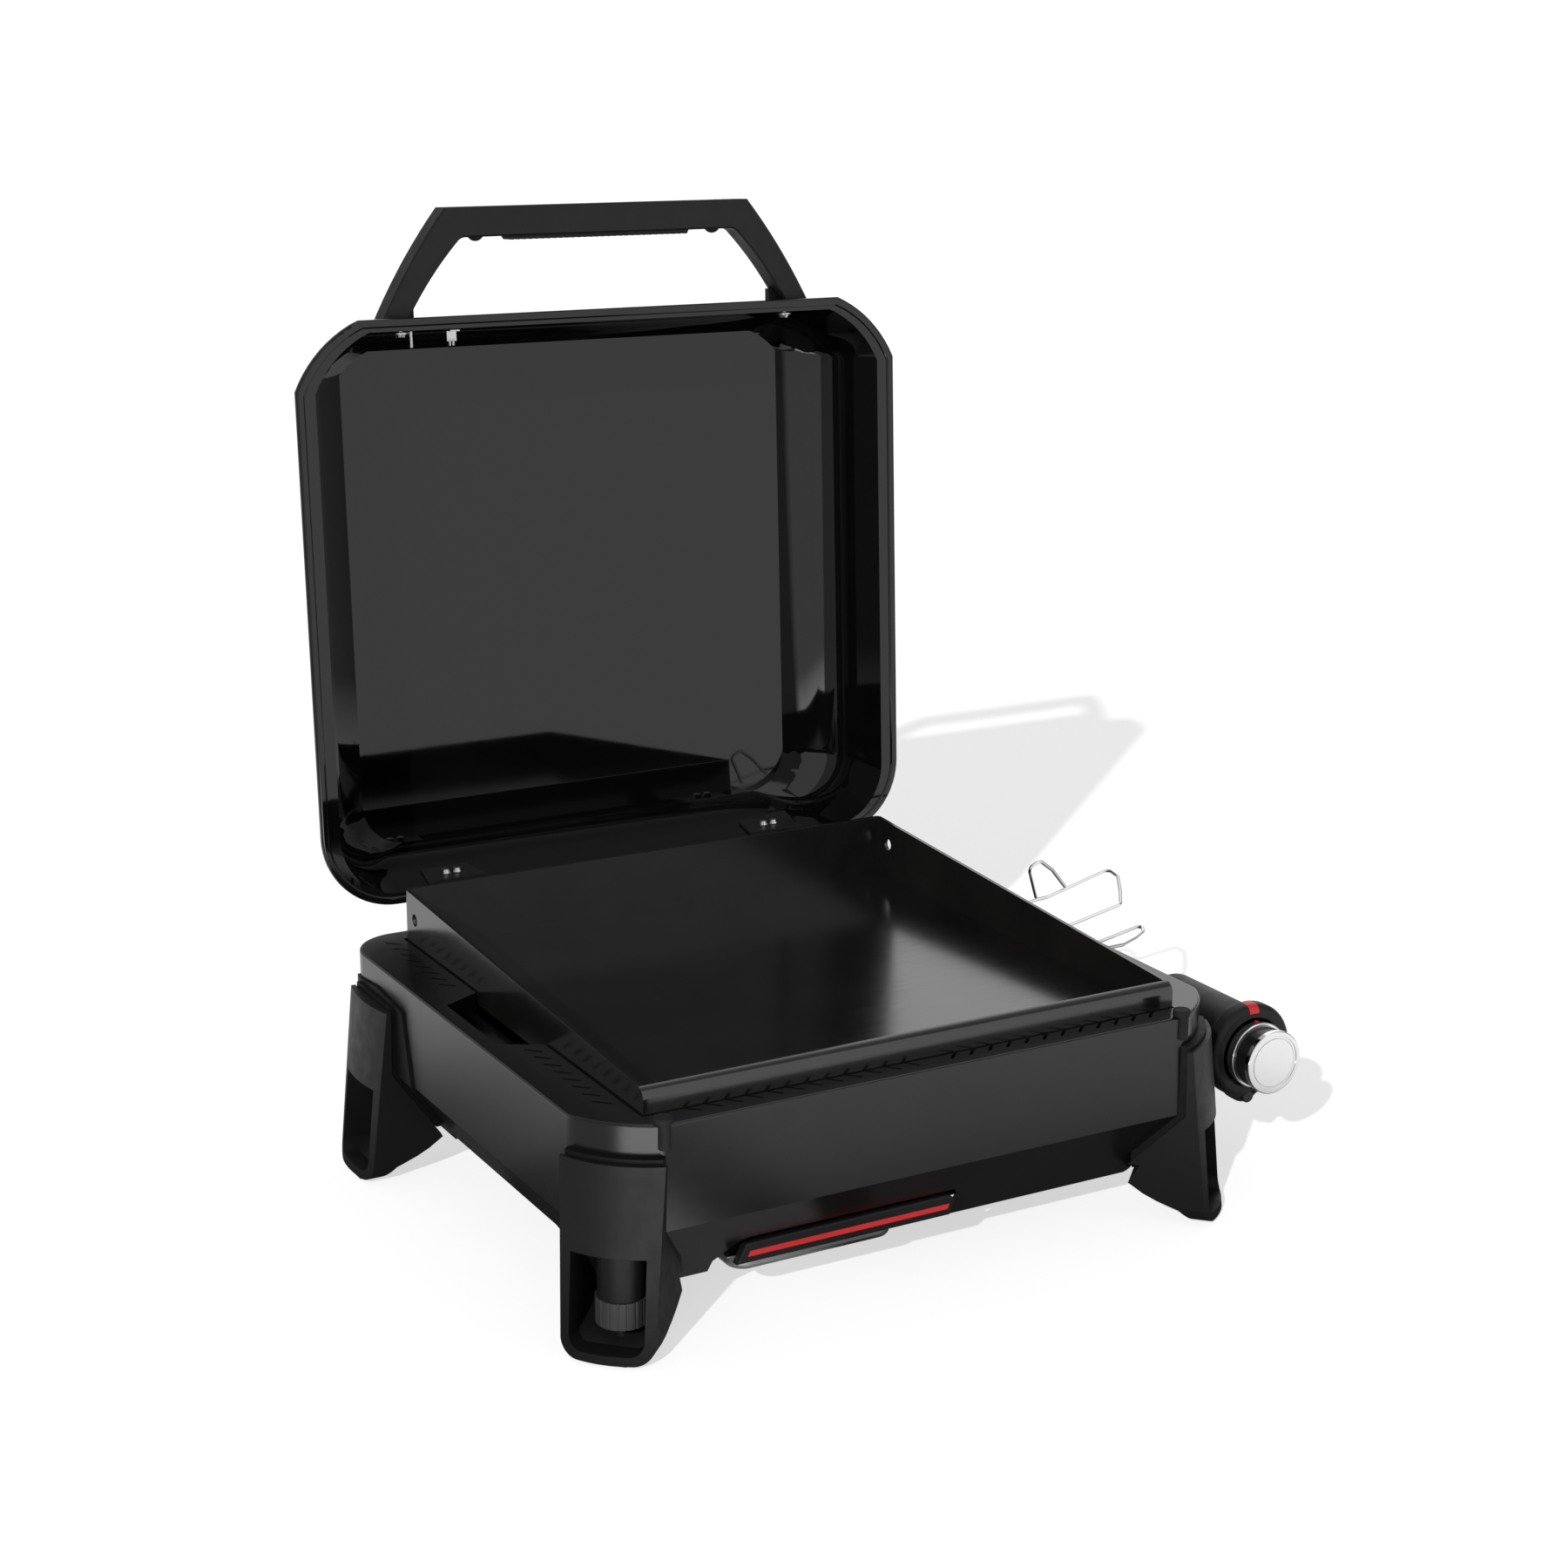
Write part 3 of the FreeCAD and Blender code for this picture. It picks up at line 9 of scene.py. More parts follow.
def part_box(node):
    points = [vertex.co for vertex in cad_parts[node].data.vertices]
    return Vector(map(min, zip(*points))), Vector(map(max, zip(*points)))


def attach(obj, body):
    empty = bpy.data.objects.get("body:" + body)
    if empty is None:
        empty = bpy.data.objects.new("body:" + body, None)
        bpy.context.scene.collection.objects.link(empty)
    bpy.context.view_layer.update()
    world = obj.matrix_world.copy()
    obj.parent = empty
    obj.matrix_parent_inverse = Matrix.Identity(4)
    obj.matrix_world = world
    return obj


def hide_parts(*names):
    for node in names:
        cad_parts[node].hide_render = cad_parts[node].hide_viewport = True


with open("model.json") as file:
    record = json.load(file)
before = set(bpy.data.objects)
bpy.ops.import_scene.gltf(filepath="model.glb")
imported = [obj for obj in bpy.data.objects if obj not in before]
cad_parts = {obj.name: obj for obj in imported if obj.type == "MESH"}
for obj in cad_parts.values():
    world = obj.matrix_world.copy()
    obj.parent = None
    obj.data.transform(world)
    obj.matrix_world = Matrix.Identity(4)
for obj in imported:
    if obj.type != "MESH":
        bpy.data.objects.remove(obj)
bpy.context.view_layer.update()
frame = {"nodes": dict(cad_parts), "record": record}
NODES = frame["nodes"]
SLOT_OF = {part["node"]: part["material_slot"] for part in frame["record"]["subparts"]}
BODY_OF = {node: body for body, nodes in frame["record"]["behaviour"]["bodies"].items() for node in nodes}

MM = 0.001

# ---- camera ----
CAMERA_OFFSET = Vector((-0.9863, -1.7364, 0.8732))
CAMERA_YAW = math.radians(29.65)
CAMERA_PITCH = math.radians(15.52)
CAMERA_ROLL = math.radians(0.385)
CAMERA_LENS = 63.2            # millimetres, as the sensor width
CAMERA_SENSOR = 36.0
CAMERA_FAR = 200.0
PLATE_MIDDLE = 0.2242         # from the fire box's front wall back to the point CAMERA_OFFSET starts from

# ---- light ----
BACKDROP = 1.15               # brightness of the white surroundings
FILL = 0.30                   # soft light on matt surfaces
# What gloss reflects in each direction: degrees from the front (-Y) round by the left (-X), and
# brightness, which changes between two entries in a straight line. ROOM is for the surroundings above
# the floor and the far floor, NEAR_FLOOR for the floor near the griddle, whose glow for gloss paints a
# bright light card (15 to 52 degrees) where no card or lamp stands: painted light.
ROOM = ((-180, 0.45), (-166, 0.45), (-158, 1.25), (-140, 1.25), (-118, 0.5), (-56, 0.20), (-50, 1.05),
        (1, 1.05), (3, 0.20), (13, 0.20), (15, 0.85), (52, 0.85), (54, 0.35), (104, 0.35), (110, 0.45),
        (180, 0.45))
NEAR_FLOOR = ((-180, 0.95), (-78, 1.05), (1, 1.05), (3, 0.20), (13, 0.20), (15, 4.0), (52, 4.0), (54, 0.44),
              (104, 0.44), (110, 1.05), (180, 0.95))
BRIGHTEST = 4.0               # the brightest entry, to which the others are scaled
FLOOR_NEAR = 0.05             # how much of that the floor shows beside the fire box: painted shade, seen in gloss, and the distance in metres at which it shows all of it
FLOOR_REACH = 0.38            # and the distance in metres at which it shows all of it
NEAR_END = 0.9                # the near floor fades into the far floor between these distances
FAR_START = 1.5
SUN_POWER = 3.0
SUN_WAY = Vector((1.40, 1.20, -1.0))
SUN_ANGLE = math.radians(0.9)
FLOOR_GREY = 0.56
FLOOR_ROUGHNESS = 0.9
FLOOR_GLOW = 0.63
FLOOR_SIZE = 40.0             # half the width of the floor


# ---------------------------------------------------------------- materials

FACE_REACH = 0.022            # radius in metres over which the rings of the knob's face run


class Finish:
    """A Principled material with a few helpers for procedural detail.

    A later call to colour or roughen takes the place of the value given at the start.
    """

    def __init__(self, name, color, roughness, metallic=0.0, **sockets):
        self.material = bpy.data.materials.new(name)
        self.material.use_nodes = True
        self.nodes = self.material.node_tree.nodes
        self.links = self.material.node_tree.links
        self.shader = self.nodes["Principled BSDF"]
        self.shader.inputs["Base Color"].default_value = (*color, 1.0)
        self.shader.inputs["Roughness"].default_value = roughness
        self.shader.inputs["Metallic"].default_value = metallic
        for socket, value in sockets.items():
            self.shader.inputs[socket.replace("_", " ")].default_value = value
        self.height = None
        coordinates = self.nodes.new("ShaderNodeTexCoord")
        self.place = coordinates.outputs["Object"]

    def mapped(self, scale=(1, 1, 1), center=(0, 0, 0)):
        """Object coordinates, moved and stretched."""
        mapping = self.nodes.new("ShaderNodeMapping")
        mapping.vector_type = "POINT"
        mapping.inputs["Scale"].default_value = scale
        mapping.inputs["Location"].default_value = [-c * s for c, s in zip(center, scale)]
        self.links.new(self.place, mapping.inputs["Vector"])
        return mapping.outputs["Vector"]

    def noise(self, scale, detail=3.0, rough=0.55, stretch=(1, 1, 1), warp=0.0):
        """Noise from 0 to 1. Scale is in features per metre."""
        texture = self.nodes.new("ShaderNodeTexNoise")
        texture.inputs["Scale"].default_value = scale
        texture.inputs["Detail"].default_value = detail
        texture.inputs["Roughness"].default_value = rough
        texture.inputs["Distortion"].default_value = warp
        self.links.new(self.mapped(stretch), texture.inputs["Vector"])
        return texture.outputs["Fac"]

    def cells(self, scale):
        """Distance to the nearest speck."""
        texture = self.nodes.new("ShaderNodeTexVoronoi")
        texture.inputs["Scale"].default_value = scale
        self.links.new(self.mapped(), texture.inputs["Vector"])
        return texture.outputs["Distance"]

    def ramp(self, value, low, high, start=0.0, end=1.0):
        """Stretch a value from one range to another."""
        node = self.nodes.new("ShaderNodeMapRange")
        node.inputs["From Min"].default_value = start
        node.inputs["From Max"].default_value = end
        node.inputs["To Min"].default_value = low
        node.inputs["To Max"].default_value = high
        self.links.new(value, node.inputs["Value"])
        return node.outputs["Result"]

    def blend(self, mask, first, second):
        """Colour that goes from first to second with the mask."""
        node = self.nodes.new("ShaderNodeMix")
        node.data_type = "RGBA"
        node.inputs["A"].default_value = (*first, 1.0)
        node.inputs["B"].default_value = (*second, 1.0)
        self.links.new(mask, node.inputs["Factor"])
        return node.outputs["Result"]

    def colour(self, output):
        """Use an output as the base colour."""
        self.links.new(output, self.shader.inputs["Base Color"])

    def roughen(self, value, low, high, start=0.3, end=0.7):
        """Drive roughness from a value."""
        self.links.new(self.ramp(value, low, high, start, end), self.shader.inputs["Roughness"])

    def relief(self, value, depth, strength=1.0):
        """Add a layer of surface relief. Depth is in metres."""
        bump = self.nodes.new("ShaderNodeBump")
        bump.inputs["Distance"].default_value = depth
        bump.inputs["Strength"].default_value = strength
        self.links.new(value, bump.inputs["Height"])
        if self.height:
            self.links.new(self.height, bump.inputs["Normal"])
        self.height = bump.outputs["Normal"]
        self.links.new(self.height, self.shader.inputs["Normal"])


def powder_coat():
    """Black powder coat: satin, with a fine orange peel and faint wipe marks."""
    finish = Finish("powder_coat", (0.006, 0.006, 0.0063), 0.23)
    cloud = finish.ramp(finish.noise(9.0, detail=4.0), low=0, high=1, start=0.3, end=0.7)
    finish.colour(finish.blend(cloud, (0.0032, 0.0032, 0.0034), (0.0050, 0.0050, 0.0052)))
    finish.roughen(finish.noise(38.0, detail=5.0, rough=0.6), low=0.20, high=0.26)
    finish.relief(finish.noise(650.0, detail=2.0), depth=0.00005, strength=0.3)
    finish.relief(finish.noise(2600.0, detail=2.0), depth=0.00002, strength=0.3)
    return finish.material


def porcelain_enamel():
    """Gloss black porcelain enamel with a slow ripple and a few pinholes."""
    finish = Finish("porcelain_enamel", (0.0020, 0.0020, 0.0022), 0.06)
    finish.roughen(finish.noise(22.0, detail=5.0, rough=0.65), low=0.02, high=0.045)
    finish.relief(finish.noise(45.0, detail=2.0), depth=0.00004, strength=0.2)
    specks = finish.ramp(finish.cells(420.0), low=0.0, high=1.0, start=0.02, end=0.09)
    finish.relief(specks, depth=0.00002, strength=0.2)
    return finish.material


def seasoned_steel():
    """Dark seasoned carbon steel: rolled grain, oil patches and fine spatula marks."""
    finish = Finish("seasoned_steel", (0.006, 0.0058, 0.0056), 0.17, Specular_IOR_Level=0.8)
    oil = finish.noise(11.0, detail=6.0, rough=0.62, warp=0.6)
    patches = finish.ramp(oil, low=0, high=1, start=0.35, end=0.68)
    finish.colour(finish.blend(patches, (0.0042, 0.0041, 0.0040), (0.0085, 0.0080, 0.0074)))
    marks = finish.noise(26.0, detail=7.0, rough=0.7, stretch=(1.0, 9.0, 1.0))
    finish.roughen(marks, low=0.14, high=0.20)
    grain = finish.noise(700.0, detail=3.0, rough=0.6, stretch=(0.12, 1.0, 1.0))
    finish.relief(grain, depth=0.00002, strength=0.25)
    finish.relief(finish.noise(2600.0, detail=2.0), depth=0.00001, strength=0.3)
    return finish.material


def moulded_plastic(name="moulded_plastic", color=(0.0050, 0.0050, 0.0053), roughness=0.48, shine=0.28):
    """Matt black moulded plastic with a fine spark-eroded texture."""
    finish = Finish(name, color, roughness, Specular_IOR_Level=shine)
    cloud = finish.ramp(finish.noise(15.0, detail=4.0), low=0, high=1, start=0.3, end=0.7)
    lighter = tuple(c * 1.35 for c in color)
    finish.colour(finish.blend(cloud, color, lighter))
    finish.roughen(finish.noise(90.0, detail=4.0), low=roughness - 0.05, high=roughness + 0.07)
    finish.relief(finish.noise(1900.0, detail=3.0, rough=0.7), depth=0.00007, strength=0.45)
    return finish.material


def soft_rubber():
    """Soft rubber: matt with a slight bloom."""
    finish = Finish("soft_rubber", (0.008, 0.008, 0.0085), 0.72, Specular_IOR_Level=0.25)
    bloom = finish.ramp(finish.noise(60.0, detail=5.0, rough=0.65), low=0, high=1, start=0.35, end=0.75)
    finish.colour(finish.blend(bloom, (0.007, 0.007, 0.0075), (0.012, 0.012, 0.0125)))
    finish.relief(finish.noise(1300.0, detail=3.0), depth=0.00006, strength=0.4)
    return finish.material


def painted_hinge():
    """Black painted hinge steel, worn a little glossy."""
    finish = Finish("painted_hinge", (0.010, 0.010, 0.0105), 0.34)
    finish.roughen(finish.noise(120.0, detail=5.0, rough=0.6), low=0.26, high=0.42)
    finish.relief(finish.noise(900.0, detail=2.0), depth=0.00008, strength=0.35)
    return finish.material


def plated_steel():
    """Zinc plated steel with fine drawn lines."""
    finish = Finish("plated_steel", (0.56, 0.56, 0.57), 0.26, 1.0)
    finish.roughen(finish.noise(300.0, detail=5.0, rough=0.65, stretch=(1.0, 1.0, 0.2)), low=0.18, high=0.36)
    drawn = finish.noise(2200.0, detail=2.0, rough=0.6, stretch=(1.0, 1.0, 0.15))
    finish.relief(drawn, depth=0.00003, strength=0.35)
    return finish.material


def burner_steel():
    """Stainless tube, heat tinted straw to blue."""
    finish = Finish("burner_steel", (0.4, 0.36, 0.32), 0.38, 1.0)
    heat = finish.ramp(finish.noise(16.0, detail=5.0, rough=0.6), low=0, high=1, start=0.35, end=0.65)
    finish.colour(finish.blend(heat, (0.42, 0.34, 0.25), (0.22, 0.23, 0.30)))
    finish.roughen(finish.noise(200.0, detail=4.0), low=0.3, high=0.46)
    return finish.material


def glazed_ceramic():
    """White glazed ceramic with patches of soot."""
    finish = Finish("glazed_ceramic", (0.78, 0.77, 0.73), 0.2)
    soot = finish.ramp(finish.noise(140.0, detail=4.0), low=0, high=1, start=0.55, end=0.8)
    finish.colour(finish.blend(soot, (0.78, 0.77, 0.73), (0.45, 0.43, 0.4)))
    return finish.material


def bright_chrome():
    """Chrome plate with faint smears."""
    finish = Finish("bright_chrome", (0.80, 0.80, 0.81), 0.07, 1.0)
    finish.roughen(finish.noise(160.0, detail=5.0, rough=0.65), low=0.04, high=0.13)
    finish.relief(finish.noise(500.0, detail=2.0), depth=0.00001, strength=0.3)
    return finish.material


def spun_face():
    """Spun metal disc: fine rings about the knob's axis."""
    finish = Finish("spun_face", (0.90, 0.90, 0.90), 0.3, 1.0)
    low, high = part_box("knob_face")
    center = (low + high) / 2
    rings = finish.nodes.new("ShaderNodeTexGradient")
    rings.gradient_type = "SPHERICAL"
    vector = finish.mapped((1 / FACE_REACH, 0.0, 1 / FACE_REACH), center)
    finish.links.new(vector, rings.inputs["Vector"])
    line = finish.nodes.new("ShaderNodeTexNoise")
    line.noise_dimensions = "1D"
    line.inputs["Scale"].default_value = 130.0
    line.inputs["Detail"].default_value = 4.0
    finish.links.new(rings.outputs["Fac"], line.inputs["W"])
    finish.roughen(line.outputs["Fac"], low=0.24, high=0.42)
    finish.relief(line.outputs["Fac"], depth=0.00004, strength=0.35)
    return finish.material


def gloss_black():
    """Semi-gloss black plastic of the knob band."""
    finish = Finish("gloss_black", (0.006, 0.006, 0.0065), 0.2)
    finish.roughen(finish.noise(140.0, detail=4.0), low=0.15, high=0.26)
    finish.relief(finish.noise(700.0, detail=2.0), depth=0.00002, strength=0.3)
    return finish.material


def red_accent():
    """Satin red lacquer."""
    finish = Finish("red_accent", (0.42, 0.010, 0.012), 0.36)
    cloud = finish.ramp(finish.noise(45.0, detail=4.0), low=0, high=1, start=0.3, end=0.7)
    finish.colour(finish.blend(cloud, (0.41, 0.009, 0.010), (0.48, 0.012, 0.014)))
    finish.roughen(finish.noise(200.0, detail=4.0), low=0.3, high=0.42)
    finish.relief(finish.noise(1400.0, detail=2.0), depth=0.00003, strength=0.3)
    return finish.material


def machined_brass():
    """Machined brass with turning lines."""
    finish = Finish("machined_brass", (0.72, 0.53, 0.26), 0.25, 1.0)
    finish.roughen(finish.noise(900.0, detail=4.0, rough=0.6, stretch=(0.1, 1.0, 0.1)), low=0.18, high=0.36)
    turned = finish.noise(2500.0, detail=2.0, rough=0.6, stretch=(0.05, 1.0, 0.05))
    finish.relief(turned, depth=0.00003, strength=0.4)
    return finish.material


def rolled_aluminium():
    """Rolled aluminium foil stock, satin with long streaks."""
    finish = Finish("rolled_aluminium", (0.60, 0.60, 0.61), 0.34, 1.0)
    finish.roughen(finish.noise(160.0, detail=6.0, rough=0.65, stretch=(0.06, 1.0, 1.0)), low=0.26, high=0.46)
    finish.relief(finish.noise(120.0, detail=3.0), depth=0.00012, strength=0.25)
    streaks = finish.noise(1400.0, detail=2.0, rough=0.6, stretch=(0.05, 1.0, 1.0))
    finish.relief(streaks, depth=0.00003, strength=0.35)
    return finish.material


FINISHES = {
    "body_paint": powder_coat(),
    "lid_enamel": porcelain_enamel(),
    "plate_steel": seasoned_steel(),
    "black_plastic": moulded_plastic(),
    "wheel_plastic": moulded_plastic("wheel_plastic", (0.024, 0.024, 0.0245), 0.45, 0.45),
    # bracket_plastic is darker than the other black plastic: painted shade, standing for the shaded recess
    # around the leg brackets.
    "bracket_plastic": moulded_plastic("bracket_plastic", (0.0030, 0.0030, 0.0032), 0.56, 0.2),
    "black_rubber": soft_rubber(),
    "hinge_steel": painted_hinge(),
    "bright_steel": plated_steel(),
    "burner_steel": burner_steel(),
    "spark_ceramic": glazed_ceramic(),
    "chrome": bright_chrome(),
    "brushed_face": spun_face(),
    "knob_black": gloss_black(),
    "red_accent": red_accent(),
    "inlet_brass": machined_brass(),
    "tray_aluminium": rolled_aluminium(),
}

# Pieces whose finish differs a little from the rest of their slot.
OWN_FINISH = {"leveller_knob": "wheel_plastic", "leveller_screw": "hinge_steel"}


# ---------------------------------------------------------------- rounded CAD pieces

# Width of the rounded edges in millimetres: for a node by its name, then by how its name starts.
EDGE_MM = {
    "body_shell": 0.5, "deck_frame": 0.35, "griddle_plate": 0.7, "lid_shell": 0.5, "handle_frame": 0.8,
    "valve_tube": 0.8, "valve_collar": 0.5, "tray_handle": 0.8, "grease_tray": 0.3, "leveller_knob": 0.3,
    "knob_band": 0.2, "knob_base_ring": 0.2, "knob_cap": 0.2, "knob_face": 0.15,
}
EDGE_PREFIX_MM = (("leg_bracket", 0.8), ("leg_screws", 0.3), ("leg_", 1.2), ("foot_pad", 0.5),
                  ("bumper", 0.4), ("handle_", 0.4), ("base_hinge", 0.4), ("lid_hinge", 0.3))
OTHER_EDGE_MM = 0.15
EDGE_SEGMENTS = 2
EDGE_PROFILE = 0.6
SAME_PLACE = 1e-6             # corners closer than this, in metres, are one corner
FLAT = math.radians(0.3)      # faces that meet at less than this are one face
SHARP = math.radians(32)      # faces that meet at more than this keep a sharp edge
PANEL_AREA = 0.1              # a flat face larger than this keeps its outline as a crease
PANEL_CREASE = math.radians(8)


def edge_width(node):
    """Edge rounding for a node, in metres."""
    if node in EDGE_MM:
        return EDGE_MM[node] * MM
    for prefix, width in EDGE_PREFIX_MM:
        if node.startswith(prefix):
            return width * MM
    return OTHER_EDGE_MM * MM


def shade(mesh):
    """Smooth faces, with the sharp edges kept sharp."""
    work = bmesh.new()
    work.from_mesh(mesh)
    for face in work.faces:
        face.smooth = True
    for edge in work.edges:
        turn = edge.calc_face_angle(0.0) if len(edge.link_faces) == 2 else math.pi
        panel = any(face.calc_area() > PANEL_AREA for face in edge.link_faces)
        edge.smooth = turn < (PANEL_CREASE if panel else SHARP)
    work.to_mesh(mesh)
    work.free()


def finish_piece(mesh, name, body, slot, nodes):
    """Turn a mesh into a shown piece that rides on a body in place of CAD nodes."""
    piece = bpy.data.objects.new(name, mesh)
    bpy.context.scene.collection.objects.link(piece)
    mesh.materials.clear()
    mesh.materials.append(FINISHES[OWN_FINISH.get(nodes[0], slot)])
    even = piece.modifiers.new("even_shading", "WEIGHTED_NORMAL")
    even.keep_sharp = True
    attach(piece, body)
    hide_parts(*nodes)


def rounded_copy(node):
    """The CAD node with its faces joined and its edges slightly rounded."""
    work = bmesh.new()
    work.from_mesh(NODES[node].data)
    bmesh.ops.remove_doubles(work, verts=work.verts, dist=SAME_PLACE)
    bmesh.ops.dissolve_limit(work, angle_limit=FLAT, verts=work.verts, edges=work.edges)
    sharp = [e for e in work.edges if len(e.link_faces) == 2 and e.calc_face_angle(0.0) > SHARP]
    bmesh.ops.bevel(work, geom=sharp, offset=edge_width(node), segments=EDGE_SEGMENTS,
                    profile=EDGE_PROFILE, affect="EDGES", clamp_overlap=True)
    mesh = bpy.data.meshes.new(node + "_finished")
    work.to_mesh(mesh)
    work.free()
    shade(mesh)
    finish_piece(mesh, node + "_finished", BODY_OF[node], SLOT_OF[node], [node])


for node in sorted(NODES):
    rounded_copy(node)


# ---------------------------------------------------------------- stage

def node_of(tree, kind, **sockets):
    """A new node with some of its inputs set or linked."""
    node = tree.nodes.new("ShaderNode" + kind)
    for socket, value in sockets.items():
        target = node.inputs[socket.replace("_", " ")]
        if isinstance(value, bpy.types.NodeSocket):
            tree.links.new(value, target)
        else:
            target.default_value = value
    return node


def surround_strength(tree, vector, table):
    """Brightness of the surroundings toward a direction."""
    split = node_of(tree, "SeparateXYZ", Vector=vector)
    way = node_of(tree, "Math")
    way.operation = "ARCTAN2"
    tree.links.new(split.outputs["X"], way.inputs[0])
    tree.links.new(split.outputs["Y"], way.inputs[1])
    turn = node_of(tree, "MapRange", Value=way.outputs["Value"])
    turn.inputs["From Min"].default_value = -math.pi
    turn.inputs["From Max"].default_value = math.pi
    ramp = node_of(tree, "ValToRGB", Fac=turn.outputs["Result"])
    stops = ramp.color_ramp.elements
    while len(stops) > 1:
        stops.remove(stops[-1])
    for i, (degrees, level) in enumerate(table):
        place = (degrees + 180) / 360
        stop = stops[0] if i == 0 else stops.new(place)
        stop.position = place
        grey = level / BRIGHTEST
        stop.color = (grey, grey, grey, 1.0)
    scale = node_of(tree, "Math")
    scale.operation = "MULTIPLY"
    scale.inputs[1].default_value = BRIGHTEST
    tree.links.new(ramp.outputs["Color"], scale.inputs[0])
    return scale.outputs["Value"]


def facing(tree, vector, center=(0, 0, 0)):
    """The vector from a centre, reversed so that the front (-Y) is at angle zero."""
    turned = node_of(tree, "VectorMath")
    turned.operation = "SUBTRACT"
    turned.inputs[0].default_value = center
    tree.links.new(vector, turned.inputs[1])
    return turned.outputs["Vector"]


def vector_step(tree, operation, value, other=(0, 0, 0)):
    """One vector math node."""
    node = node_of(tree, "VectorMath")
    node.operation = operation
    tree.links.new(value, node.inputs[0])
    node.inputs[1].default_value = other
    return node.outputs["Value" if operation == "LENGTH" else "Vector"]


def floor_mirror(tree, place):
    """How bright the floor looks in gloss: painted shade beside the fire box, a painted light card near it,
    as bright as the room further out.
    """
    low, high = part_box("body_shell")
    center = (low + high) / 2
    center.z = 0.0
    half = (high - low) / 2
    half.z = 0.0
    aside = vector_step(tree, "ABSOLUTE", vector_step(tree, "SUBTRACT", place, center))
    beyond = vector_step(tree, "MAXIMUM", vector_step(tree, "SUBTRACT", aside, half))
    distance = vector_step(tree, "LENGTH", beyond)
    # Painted shade: the floor's gloss glow drops to FLOOR_NEAR beside the fire box.
    painted_shade_factor = node_of(tree, "MapRange", Value=distance)
    painted_shade_factor.interpolation_type = "SMOOTHSTEP"
    painted_shade_factor.inputs["From Max"].default_value = FLOOR_REACH
    painted_shade_factor.inputs["To Min"].default_value = FLOOR_NEAR
    away = node_of(tree, "MapRange", Value=distance)
    away.inputs["From Min"].default_value = NEAR_END
    away.inputs["From Max"].default_value = FAR_START
    way = facing(tree, place, center)
    both = node_of(tree, "Mix", Factor=away.outputs["Result"])
    tree.links.new(surround_strength(tree, way, NEAR_FLOOR), both.inputs["A"])
    tree.links.new(surround_strength(tree, way, ROOM), both.inputs["B"])
    strength = node_of(tree, "Math")
    strength.operation = "MULTIPLY"
    tree.links.new(painted_shade_factor.outputs["Result"], strength.inputs[0])
    tree.links.new(both.outputs["Result"], strength.inputs[1])
    return strength.outputs["Value"]


def white_floor():
    """A pale floor with light of its own, so that only the shadow shows on it. Gloss shows floor_mirror."""
    mesh = bpy.data.meshes.new("floor")
    corners = [(FLOOR_SIZE * x, FLOOR_SIZE * y, 0) for x, y in ((-1, -1), (1, -1), (1, 1), (-1, 1))]
    mesh.from_pydata(corners, [], [(0, 1, 2, 3)])
    floor = bpy.data.objects.new("floor", mesh)
    bpy.context.scene.collection.objects.link(floor)
    grey = (FLOOR_GREY, FLOOR_GREY, FLOOR_GREY)
    finish = Finish("floor_white", grey, FLOOR_ROUGHNESS, Emission_Color=(1, 1, 1, 1),
                    Emission_Strength=FLOOR_GLOW)
    tree = finish.material.node_tree
    glow = node_of(tree, "Emission", Strength=floor_mirror(tree, finish.place))
    ray = tree.nodes.new("ShaderNodeLightPath")
    mix = tree.nodes.new("ShaderNodeMixShader")
    tree.links.new(ray.outputs["Is Glossy Ray"], mix.inputs[0])
    tree.links.new(finish.shader.outputs["BSDF"], mix.inputs[1])
    tree.links.new(glow.outputs["Emission"], mix.inputs[2])
    tree.links.new(mix.outputs["Shader"], tree.nodes["Material Output"].inputs["Surface"])
    finish.material.cycles.emission_sampling = "NONE"
    floor.data.materials.append(finish.material)


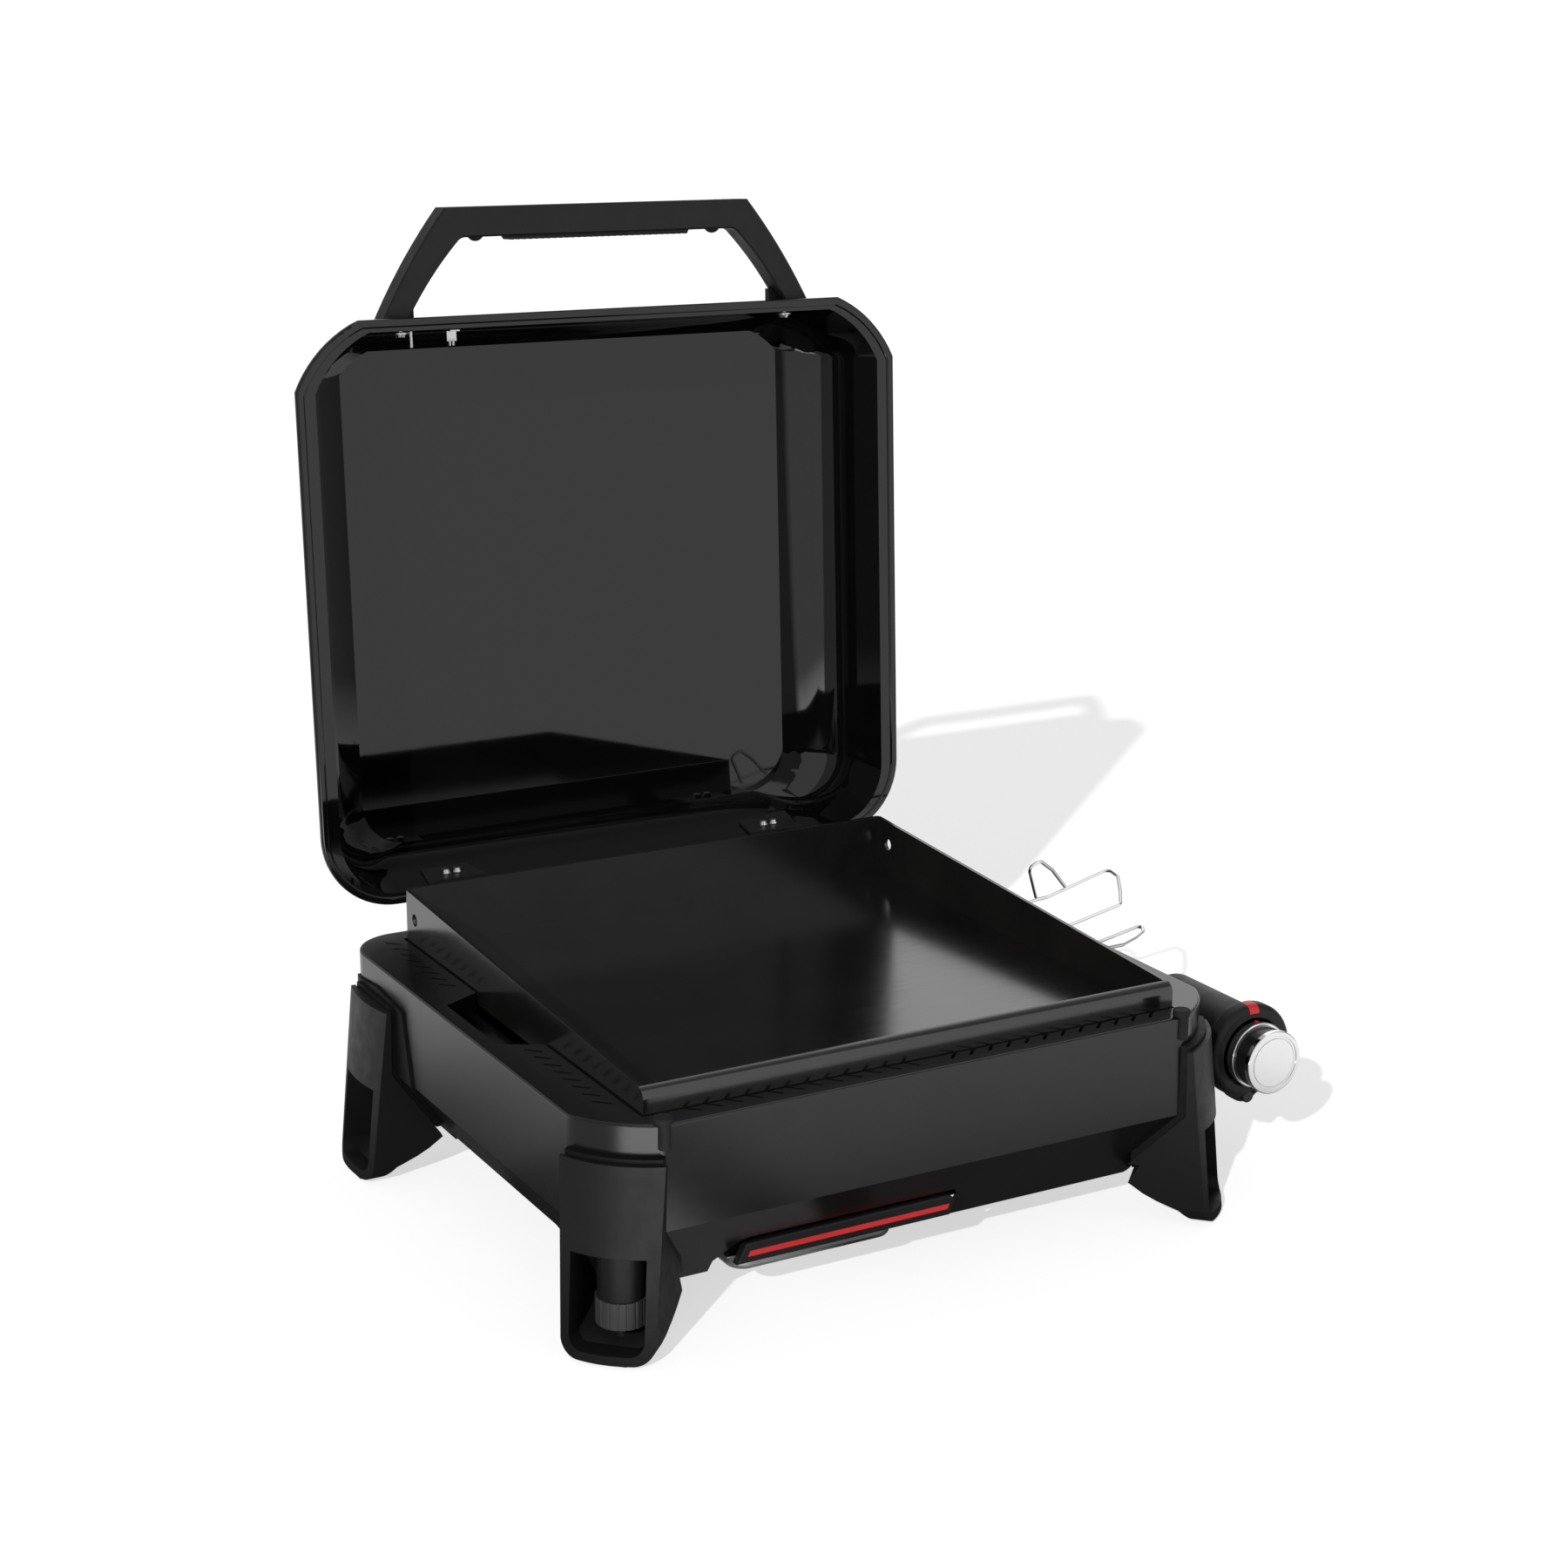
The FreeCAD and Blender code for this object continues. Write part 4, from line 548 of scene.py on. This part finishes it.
def studio():
    """Surroundings that are white to the camera, an even fill to matt surfaces and ROOM to gloss."""
    world = bpy.data.worlds.new("studio")
    bpy.context.scene.world = world
    world.use_nodes = True
    world.cycles.sampling_method = "NONE"
    tree = world.node_tree
    tree.nodes.clear()
    place = tree.nodes.new("ShaderNodeTexCoord")
    way = facing(tree, place.outputs["Generated"])
    room = node_of(tree, "Background", Strength=surround_strength(tree, way, ROOM))
    matt = node_of(tree, "Background", Strength=FILL)
    seen = node_of(tree, "Background", Strength=BACKDROP)
    for node in (room, matt, seen):
        node.inputs["Color"].default_value = (1, 1, 1, 1)
    ray = tree.nodes.new("ShaderNodeLightPath")
    direct = tree.nodes.new("ShaderNodeMixShader")
    tree.links.new(ray.outputs["Is Camera Ray"], direct.inputs[0])
    tree.links.new(matt.outputs["Background"], direct.inputs[1])
    tree.links.new(seen.outputs["Background"], direct.inputs[2])
    mix = tree.nodes.new("ShaderNodeMixShader")
    tree.links.new(ray.outputs["Is Glossy Ray"], mix.inputs[0])
    tree.links.new(direct.outputs["Shader"], mix.inputs[1])
    tree.links.new(room.outputs["Background"], mix.inputs[2])
    node_of(tree, "OutputWorld", Surface=mix.outputs["Shader"])


def sun():
    """The sun, which throws the shadow to the right and back. Gloss doesn't show it."""
    data = bpy.data.lights.new("sun", "SUN")
    data.energy = SUN_POWER
    data.angle = SUN_ANGLE
    light = bpy.data.objects.new("sun", data)
    light.visible_glossy = False
    bpy.context.scene.collection.objects.link(light)
    light.rotation_euler = SUN_WAY.to_track_quat("-Z", "Y").to_euler()


def plate_middle():
    """The point on the table that the camera is placed from, near the middle of the cooking plate."""
    low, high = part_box("body_shell")
    return Vector(((low.x + high.x) / 2, low.y + PLATE_MIDDLE, 0.0))


def camera():
    """The camera at the reference viewing angle."""
    data = bpy.data.cameras.new("camera")
    data.lens = CAMERA_LENS
    data.sensor_width = CAMERA_SENSOR
    data.clip_end = CAMERA_FAR
    view = bpy.data.objects.new("camera", data)
    turn = Matrix.Rotation(-CAMERA_YAW, 4, "Z") @ Matrix.Rotation(math.pi / 2 - CAMERA_PITCH, 4, "X")
    place = Matrix.Translation(plate_middle() + CAMERA_OFFSET)
    view.matrix_world = place @ turn @ Matrix.Rotation(CAMERA_ROLL, 4, "Z")
    bpy.context.scene.collection.objects.link(view)
    bpy.context.scene.camera = view


bpy.context.scene.view_settings.view_transform = "Standard"
white_floor()
studio()
sun()
camera()
